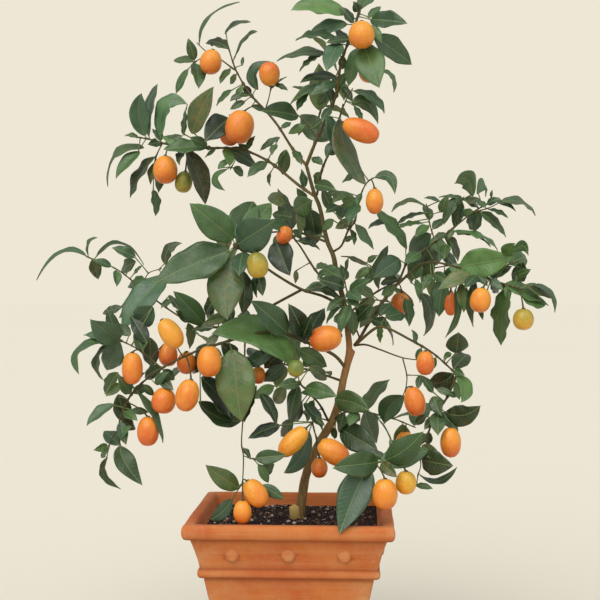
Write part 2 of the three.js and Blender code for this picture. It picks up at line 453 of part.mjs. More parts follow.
/** A square solid from a half profile of [half side, z] that starts and ends on the axis. */
function squareLathe(profile) {
  const points = profile.map(([half, z]) => new THREE.Vector2(half * Math.SQRT2, z));
  const geometry = new THREE.LatheGeometry(points, 4);
  geometry.rotateX(Math.PI / 2);
  geometry.rotateZ(Math.PI / 4);
  return solid(geometry);
}

/** The half-round outline of a raised band between two heights. */
function roll(half, proud, low, high, steps) {
  return Array.from({ length: steps + 1 }, (_, i) => {
    const angle = Math.PI * (i / steps - 0.5);
    return [half + proud * Math.cos(angle), (low + high) / 2 + ((high - low) / 2) * Math.sin(angle)];
  });
}

const flareFoot = BAND_Z + BAND_TALL / 2;
const flareTop = POT_HEIGHT - RIM_TALL;

/** Half the planter's side at a height of the hollow curve from the band up to the rim. */
function flareHalf(z) {
  const t = (z - flareFoot) / (flareTop - flareFoot);
  return NECK_HALF + (FLARE_HALF - NECK_HALF) * t * (FLARE_LEAN + (1 - FLARE_LEAN) * t);
}

function flare(steps) {
  return Array.from({ length: steps + 1 }, (_, i) => {
    const z = flareFoot + ((flareTop - flareFoot) * i) / steps;
    return [flareHalf(z), z];
  });
}

function innerWall() {
  return [
    [FOOT_HALF - WALL, FLOOR_THICK], [BODY_HALF - WALL, BAND_Z],
    [RIM_HALF - RIM_PROUD - WALL, SOIL_Z],
  ];
}

function planter() {
  const outside = [
    [0, 0], [FOOT_HALF, 0], [BODY_HALF, BAND_Z - BAND_TALL / 2],
    ...roll(NECK_HALF, BAND_PROUD, BAND_Z - BAND_TALL / 2, flareFoot, 4).slice(0, -1),
    ...flare(4),
    ...roll(RIM_HALF - RIM_PROUD, RIM_PROUD, flareTop, POT_HEIGHT, 6),
    [RIM_HALF - WALL, POT_HEIGHT],
  ];
  const inside = innerWall().reverse();
  const walls = squareLathe([...outside, ...inside, [0, FLOOR_THICK]]);
  const bosses = [];
  for (let side = 0; side < 4; side += 1) {
    for (const step of [-1, 0, 1]) {
      const dome = new THREE.SphereGeometry(BOSS_RADIUS, 8, 4);
      dome.scale(1, BOSS_PROUD / BOSS_RADIUS, 1);
      dome.translate(step * BOSS_STEP, -flareHalf(BOSS_Z), BOSS_Z);
      dome.rotateZ((side * Math.PI) / 2);
      bosses.push(solid(dome));
    }
  }
  const drains = [[-1, -1], [1, -1], [1, 1], [-1, 1]].map(([sx, sy]) => {
    const drain = new THREE.CylinderGeometry(DRAIN_RADIUS, DRAIN_RADIUS, FLOOR_THICK * 3, 8);
    drain.rotateX(Math.PI / 2);
    drain.translate(sx * DRAIN_OFFSET, sy * DRAIN_OFFSET, 0);
    return solid(drain);
  });
  return join([walls, ...bosses]).subtract(join(drains));
}

function soil() {
  const wall = innerWall().map(([half, z], i) => [half - GAP, i === 0 ? z + GAP : z]);
  const top = SOIL_Z + SOIL_MOUND;
  return squareLathe([[0, FLOOR_THICK + GAP], ...wall, [SOIL_CROWN, top], [0, top]]);
}

// ---- limbs, leaves and fruits ----

/** A tapered tube of few sides through points, grown all round by grow. */
function tube(points, firstRadius, lastRadius, sides, grow) {
  const steps = points.length - 1;
  const tangents = points.map((_, i) => (
    points[Math.min(i + 1, steps)].clone().sub(points[Math.max(i - 1, 0)]).normalize()));
  let normal = new THREE.Vector3(1, 0, 0);
  const frames = tangents.map((tangent) => {
    normal = normal.clone().addScaledVector(tangent, -normal.dot(tangent)).normalize();
    return { tangent, normal, binormal: new THREE.Vector3().crossVectors(tangent, normal) };
  });
  const geometry = new THREE.CylinderGeometry(1, 1, 1, sides, steps);
  const at = geometry.attributes.position;
  for (let i = 0; i < at.count; i += 1) {
    const step = Math.round((0.5 - at.getY(i)) * steps);
    const end = (step === steps ? 1 : 0) - (step === 0 ? 1 : 0);
    const radius = grow + firstRadius + ((lastRadius - firstRadius) * step) / steps;
    const point = points[step].clone().addScaledVector(frames[step].tangent, end * grow);
    point.addScaledVector(frames[step].normal, at.getX(i) * radius);
    point.addScaledVector(frames[step].binormal, at.getZ(i) * radius);
    at.setXYZ(i, point.x, point.y, point.z);
  }
  return solid(geometry);
}

/** The corners of a twig's centre line, as { spot: (x, depth, z), point }. */
function cornersOf([, , ...route]) {
  const drawn = route.map(([x, z, depth]) => new THREE.Vector3(x, depth, z));
  const curve = new THREE.CatmullRomCurve3(drawn, false, "centripetal");
  const steps = Math.max(1, Math.round(curve.getLength() / TWIG_STEP));
  return curve.getSpacedPoints(steps).map((spot) => ({ spot, point: place(spot.x, spot.z, spot.y) }));
}

function limb(entry, grow, sides) {
  const points = cornersOf(entry).map(({ point }) => point);
  return tube(points, entry[0] / 2, entry[1] / 2, sides, grow);
}

/** The nearest place on a set of twigs by a measure of distance, as { spot, point, gap }. */
function nearestOnTwigs(twigs, measure) {
  let best = { gap: Infinity };
  for (const corners of twigs.map(cornersOf)) {
    for (let i = 1; i < corners.length; i += 1) {
      const last = i === corners.length - 1 ? FREE_SHARE : 1;
      for (let t = i === 1 ? HELD_SHARE : 0; t < last; t += NEAR_STEP) {
        const spot = corners[i - 1].spot.clone().lerp(corners[i].spot, t);
        const point = corners[i - 1].point.clone().lerp(corners[i].point, t);
        const gap = measure(spot, point);
        if (gap < best.gap) best = { spot, point, gap };
      }
    }
  }
  return best;
}

/**
 * A leaf as a sphere of four sides pressed flat along its midrib. A leaf that stands off its
 * twig has one more ring of corners, which draws its stem out to the twig.
 */
function blade({ root, base, middle, tip, normal, width }, grow) {
  const midrib = new THREE.QuadraticBezierCurve3(base, middle, tip);
  const stemmed = root.distanceTo(base) > SEATED;
  const rings = stemmed ? 4 : 3;
  const geometry = new THREE.SphereGeometry(1, 4, rings);
  const at = geometry.attributes.position;
  for (let i = 0; i < at.count; i += 1) {
    const ring = Math.round((Math.acos(THREE.MathUtils.clamp(at.getY(i), -1, 1)) / Math.PI) * rings);
    const t = BLADE_RINGS.at(ring - rings - 1) ?? 0;
    const inStem = stemmed && ring < 2;
    const point = ring === 0 ? root.clone() : midrib.getPoint(inStem ? 0 : t);
    const along = midrib.getTangent(t);
    const face = normal.clone().addScaledVector(along, -normal.dot(along)).normalize();
    const side = new THREE.Vector3().crossVectors(along, face);
    const half = inStem ? STEM_RADIUS : (width / 2) * BLADE_FULLNESS;
    const thick = inStem ? STEM_RADIUS : LEAF_THICK / 2;
    const off = ring === 0 || ring === rings ? 0 : 1;
    const air = grow * MARGIN_AIR;
    const across = off * Math.sign(Math.round(at.getX(i) * 4)) * (half + air);
    const up = off * Math.sign(Math.round(at.getZ(i) * 4)) * (thick + (inStem ? air : grow));
    point.addScaledVector(side, across).addScaledVector(face, up);
    point.addScaledVector(face, inStem ? 0 : Math.abs(across) * LEAF_FOLD);
    if (off === 0) {
      const inner = midrib.getPoint(ring === 0 ? (stemmed ? 0 : BLADE_RINGS[1]) : BLADE_RINGS[2]);
      point.addScaledVector(inner.sub(point).normalize(), -air);
    }
    at.setXYZ(i, point.x, point.y, point.z);
  }
  return solid(geometry);
}

/** The leaf whose base, tip and width as shown are given on the elevation. */
function drawnLeaf(twigs, entry, index) {
  const [x0, z0, x1, z1, shown, reach = 0, xMiddle, zMiddle] = entry;
  const twig = nearestOnTwigs(twigs, (spot) => Math.hypot(spot.x - x0, spot.z - z0));
  const depth = twig.spot.y;
  const flat = Math.hypot(x1 - x0, z1 - z0);
  const hidden = Math.sqrt(Math.max(0, (shown / LEAF_SLENDER) ** 2 - flat ** 2));
  const towards = index % 2 ? -1 : 1;
  const nearer = reach || towards * Math.min(hidden + flat * SWING, SWING_MOST);
  const root = twig.point;
  const base = twig.gap < STEM_REACH ? root : place(x0, z0, depth - nearer * STEM_LEAD);
  const tip = place(x1, z1, depth - nearer);
  const length = base.distanceTo(tip);
  const widest = shown * WIDTH_GAIN + WIDTH_SPARE;
  const width = THREE.MathUtils.clamp(length * LEAF_SLENDER, shown, widest);
  const along = tip.clone().sub(base).normalize();
  const open = FORWARD.clone().addScaledVector(along, -FORWARD.dot(along)).normalize();
  const edge = new THREE.Vector3().crossVectors(along, open);
  if (edge.z < 0) edge.negate();
  const turn = Math.acos(THREE.MathUtils.clamp(shown / width, EDGE_LEAST, 1));
  const normal = open.multiplyScalar(Math.cos(turn)).addScaledVector(edge, Math.sin(turn));
  const middle = base.clone().lerp(tip, 0.5);
  if (xMiddle === undefined) {
    middle.addScaledVector(normal, length * LEAF_ARCH * 2);
  } else {
    middle.lerp(place(xMiddle, zMiddle, depth - nearer / 2), 2);
  }
  return { root, base, middle, tip, normal, width };
}

/** Leaves that stand round a shoot in a spiral and droop a little. */
function spiralLeaves(count, size, entry) {
  const corners = cornersOf(entry);
  return Array.from({ length: count }, (_, i) => {
    const reach = (SPIRAL_FIRST + (SPIRAL_SPAN * i) / (count - 1)) * (corners.length - 1);
    const [from, to] = [corners[Math.floor(reach)].point, corners[Math.floor(reach) + 1].point];
    const base = from.clone().lerp(to, reach % 1);
    const along = to.clone().sub(from).normalize();
    const side = new THREE.Vector3().crossVectors(along, UP).normalize();
    side.applyAxisAngle(along, i * GOLDEN_ANGLE);
    const direction = side.multiplyScalar(SPIRAL_OUT).addScaledVector(along, SPIRAL_ALONG);
    direction.addScaledVector(UP, -SPIRAL_DROOP).normalize();
    const length = size * SPIRAL_SIZES[i % SPIRAL_SIZES.length];
    const tip = base.clone().addScaledVector(direction, length);
    const normal = UP.clone().addScaledVector(direction, -UP.dot(direction)).normalize();
    const middle = base.clone().lerp(tip, 0.5).addScaledVector(normal, length * LEAF_ARCH * 2);
    return { root: base, base, middle, tip, normal, width: length * LEAF_SLENDER };
  });
}

function fruitPose([x, z, depth, width, length, lean, ripeness]) {
  const centre = place(x, z, depth);
  const angle = THREE.MathUtils.degToRad(lean);
  const axis = new THREE.Vector3(Math.sin(angle), 0, Math.cos(angle));
  const size = 1 + depth / EYE_DISTANCE;
  const crown = centre.clone().addScaledVector(axis, (length * size) / 2);
  return { centre, axis, crown, width: width * size, length: length * size, ripeness };
}

function fruitBody({ centre, axis, width, length }, grow) {
  const geometry = new THREE.SphereGeometry(1, 8, 5);
  geometry.scale(width / 2 + grow, length / 2 + grow, width / 2 + grow);
  const turn = new THREE.Quaternion().setFromUnitVectors(new THREE.Vector3(0, 1, 0), axis);
  geometry.applyQuaternion(turn);
  geometry.translate(centre.x, centre.y, centre.z);
  return solid(geometry);
}

/** From green through olive and orange to red-orange. */
function fruitLook(ripeness) {
  const steps = [0x96a03c, 0xbeaa32, 0xffb450, 0xff9b2d, 0xe66428];
  const stage = ripeness * (steps.length - 1);
  const low = Math.min(Math.floor(stage), steps.length - 2);
  const color = new THREE.Color(steps[low]).lerp(new THREE.Color(steps[low + 1]), stage - low);
  return { color, roughness: 0.45, metalness: 0 };
}

// ---- the tree ----

const shoots = [
  ...SPRAYS.map(([name, twigs, leaves]) => ({
    name, twigs, leaves: leaves.map((entry, i) => drawnLeaf(twigs, entry, i)),
  })),
  ...BACK_SHOOTS.map(([name, count, size, ...twig]) => ({
    name, twigs: [twig], leaves: spiralLeaves(count, size, twig),
  })),
];
const fruits = FRUITS.map(fruitPose);
const shadedFruits = SHADED_FRUITS.map(fruitPose);

// Every fruit hangs from the nearest twig by a stalk that belongs to that twig's piece.
for (const shoot of shoots) Object.assign(shoot, { stalks: [], shaded: [] });
for (const fruit of [...fruits, ...shadedFruits]) {
  const near = shoots.map((shoot) => ({
    shoot, ...nearestOnTwigs(shoot.twigs, (_, point) => point.distanceTo(fruit.crown)),
  }));
  const { point, gap, shoot } = near.reduce((a, b) => (b.gap < a.gap ? b : a));
  const bend = point.clone().lerp(fruit.crown, STALK_BEND)
    .addScaledVector(fruit.axis, gap * STALK_ARCH);
  const shaded = shadedFruits.includes(fruit);
  const end = fruit.crown.clone().addScaledVector(fruit.axis, shaded ? -STALK_ROOT : 2 * GAP);
  shoot.stalks.push([point, bend, end]);
  if (shaded) shoot.shaded.push(fruit);
}

const trunkShape = (grow) => join(TRUNK_LIMBS.map((entry) => limb(entry, grow, 8)));
const twigShape = ({ twigs, stalks, shaded }, grow) => join([
  ...twigs.map((entry) => limb(entry, grow, TWIG_SIDES)),
  ...stalks.map((route) => tube(route, STEM_RADIUS, STEM_RADIUS, 3, grow)),
  ...shaded.map((fruit) => fruitBody(fruit, grow)),
]);

const pot = planter();
const trunk = largest(trunkShape(0));
const fruitRoom = join(fruits.map((fruit) => fruitBody(fruit, GAP)));
const potRoom = squareLathe([
  [0, 0], [FOOT_HALF, 0], [RIM_HALF + GAP, flareTop], [RIM_HALF + GAP, POT_HEIGHT + GAP],
  [RIM_HALF - WALL - GAP, POT_HEIGHT + GAP], [RIM_HALF - RIM_PROUD - WALL - GAP, SOIL_Z + GAP],
  [SOIL_CROWN, SOIL_Z + SOIL_MOUND + GAP], [0, SOIL_Z + SOIL_MOUND + GAP],
]);

const tree = new THREE.Group();
tree.name = "potted_kumquat_tree";
const origin = new THREE.Vector3();
tree.add(piece("terracotta_planter", pot, origin, TERRACOTTA));
tree.add(piece("potting_soil", largest(soil().subtract(trunkShape(GAP))), origin, SOIL));
tree.add(piece("trunk", trunk, origin, BARK));

// Wood keeps its room before fruit, and fruit before leaves, so no two pieces share a place.
let woodRoom = trunkShape(GAP);
for (const shoot of shoots) {
  shoot.wood = twigShape(shoot, 0).subtract(woodRoom).subtract(fruitRoom).subtract(potRoom);
  woodRoom = woodRoom.add(twigShape(shoot, GAP));
}
let leafRoom = fruitRoom.add(potRoom);
for (const shoot of shoots) {
  const others = join([trunkShape(GAP), ...shoots.filter((other) => other !== shoot)
    .map((other) => twigShape(other, GAP))]);
  const leaves = join(shoot.leaves.map((leaf) => blade(leaf, 0))).subtract(others).subtract(leafRoom);
  const body = largest(shoot.wood.add(leaves));
  const [x, z, depth] = shoot.twigs[0][2];
  tree.add(piece(shoot.name, body, place(x, z, depth), FOLIAGE));
  leafRoom = leafRoom.add(join(shoot.leaves.map((leaf) => blade(leaf, GAP))));
}
fruits.forEach((fruit, i) => {
  const name = `kumquat_${String(i + 1).padStart(2, "0")}`;
  const others = fruits.slice(0, i).map((other) => fruitBody(other, GAP));
  const body = largest(fruitBody(fruit, 0).subtract(join([...others, woodRoom])));
  tree.add(piece(name, body, fruit.centre, fruitLook(fruit.ripeness)));
});

export default tree;
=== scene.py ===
"""A potted kumquat tree: terracotta planter, soil, trunk, leafy shoots and fruits."""

import math
import random

import bmesh
import bpy
from mathutils import Matrix, Vector, noise


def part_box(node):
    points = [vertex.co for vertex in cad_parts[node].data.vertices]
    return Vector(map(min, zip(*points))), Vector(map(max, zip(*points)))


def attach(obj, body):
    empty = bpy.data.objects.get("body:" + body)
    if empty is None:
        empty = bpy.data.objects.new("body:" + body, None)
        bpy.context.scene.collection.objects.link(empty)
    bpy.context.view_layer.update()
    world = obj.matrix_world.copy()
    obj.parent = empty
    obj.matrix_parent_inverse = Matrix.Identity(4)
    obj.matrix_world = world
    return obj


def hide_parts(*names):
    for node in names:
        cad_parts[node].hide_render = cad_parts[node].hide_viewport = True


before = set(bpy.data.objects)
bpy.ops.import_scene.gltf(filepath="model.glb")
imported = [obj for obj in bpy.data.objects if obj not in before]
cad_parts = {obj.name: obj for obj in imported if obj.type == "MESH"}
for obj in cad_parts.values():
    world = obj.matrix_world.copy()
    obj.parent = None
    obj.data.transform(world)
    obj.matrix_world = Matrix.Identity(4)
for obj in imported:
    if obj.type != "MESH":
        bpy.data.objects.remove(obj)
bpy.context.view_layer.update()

bl_info = {
    "name": "Potted Kumquat Tree",
    "version": (1, 0, 0),
    "blender": (4, 5, 0),
    "location": "View3D > Sidebar > Kumquat",
    "description": "Builds a kumquat tree in a square terracotta planter",
    "category": "Add Mesh",
}

MM = 0.001
UP = Vector((0, 0, 1))
FORWARD = Vector((0, -1, 0))
SQUARE = ((-1, -1), (1, -1), (1, 1), (-1, 1))  # corners of a square two units wide

# The crown is laid out on its front elevation in whole millimetres: x across, z up, and depth
# behind the upright plane through the trunk. A point with depth moves along its line to EYE,
# the point in front of the tree that the elevation belongs to.
EYE = Vector((75, -1398, 438)) * MM
EYE_DISTANCE = 1400
PLANE_TURN = 0.048  # how far the plane turns back per unit of x

# How a leaf with a given outline on the elevation stands in space.
LEAF_SLENDER = 0.42  # true width per unit of length
LEAF_ARCH = 0.045  # height of the midrib's arch per unit of length
STEM_REACH = 7  # a leaf nearer than this to its twig has its base on it
STEM_LEAD = 0.1  # how much nearer a stemmed leaf's base is, per unit of its reach
SWING = 0.22  # how far a tip swings to the front or back per unit of length
SWING_MOST = 34
WIDTH_GAIN = 1.8  # a turned leaf is at most this many times as wide as it shows ...
WIDTH_SPARE = 5  # ... and this much more
EDGE_LEAST = 0.12  # the least of its width that a leaf shows

# The spirals of leaves on the shoots at the back.
GOLDEN_ANGLE = 2.39996
SPIRAL_FIRST = 0.22  # place on its twig of the first leaf
SPIRAL_SPAN = 0.76  # share of its twig from the first leaf to the last
SPIRAL_OUT, SPIRAL_ALONG, SPIRAL_DROOP = 0.9, 0.5, 0.15  # parts of a leaf's direction

LEAF_ROWS, LEAF_HALF_COLUMNS = 18, 5  # grid of a blade's points
SEATED = 4 * MM  # a leaf with its base nearer than this to its twig sits on it ...
LEAF_STEM = 2.5 * MM  # ... with a stem this long
RIB_HALF = 0.5 * MM  # half the width of the groove over the midrib
VEIN_STEP = 5.2 * MM  # between one side vein and the next
TIP_HALF = 0.35 * MM  # least half width of a blade, at its ends
STALK_BEND = 0.6  # place of a stalk's bend between its twig and its fruit
STALK_ARCH = 0.15  # how far it bends over, per unit of length
STALK_SUNK = 0.03  # how far it goes into its fruit, per unit of the fruit's length
RIPE_FROM = 0.6  # ripeness from which a fruit counts as ripe
FRUIT_ROWS = FRUIT_COLUMNS = 30
CALYX_LOBES, CALYX_SIDES = 5, 20

FLARE_LEAN = 0.7  # how straight the planter's flare is: 1 is straight, 0 fully hollow
BOSS_BLOOM = 0.8  # how pale the bosses are
BOSS_SIDES = 28
GRIT_CHIPS = 1100
SOIL_RINGS, SOIL_PER_SIDE = 44, 52
SOIL_CORNER = 2 * MM
SOIL_AIR = 0.6 * MM  # between the soil and the wall

FOOT_Z = 172  # height of the trunk's thicker foot
TRUNK_TOP = 370  # height from which the leader's bark turns green
FORK_Z = 372  # height of the middle of the ruddy bark
ROOT_COUNT = 5
ROOT_START = (5, 184, 0)  # where the roots leave the foot, as x, z, depth

FLOOR_REACH = 40  # half the side of the floor in metres
CAMERA_SPOT = Vector((75.2, -1398, 438.3)) * MM
CAMERA_DIP, CAMERA_TURN = 0.42, 2.76  # degrees below level and to the left
KEY_TINT, KEY_FROM = (1.0, 0.975, 0.93), (-0.4, -1.0, 1.15)
FILL_TINT, FILL_FROM = (0.95, 0.98, 1.0), (1.0, -0.6, 0.8)
FILL_SHARE = 0.22  # the fill's strength per unit of the key's
SUN_SPREAD = 60  # degrees

# Trunk, leader and graft stub: first and last diameter, then the route as [x, z, depth].
TRUNK_LIMBS = [
    [11.5, 8, [3, 156, 0], [6, 172, 0], [10, 200, 1], [14, 225, 2], [22, 248, 2], [32, 268, 0],
     [45, 290, -3], [53, 315, -5], [58, 340, -5], [63, 358, -3], [67, 370, 0]],
    [7.4, 3.8, [61, 352, -4], [64, 372, -2], [62, 395, 0], [58, 425, 0], [50, 455, 0],
     [46, 478, 0], [39, 495, 2], [30, 535, 3], [24, 550, 3], [15, 582, 0]],
]
GRAFT_STUB = [13, 11, [3, 170, -2], [2, 180, -3], [1, 191, -4]]

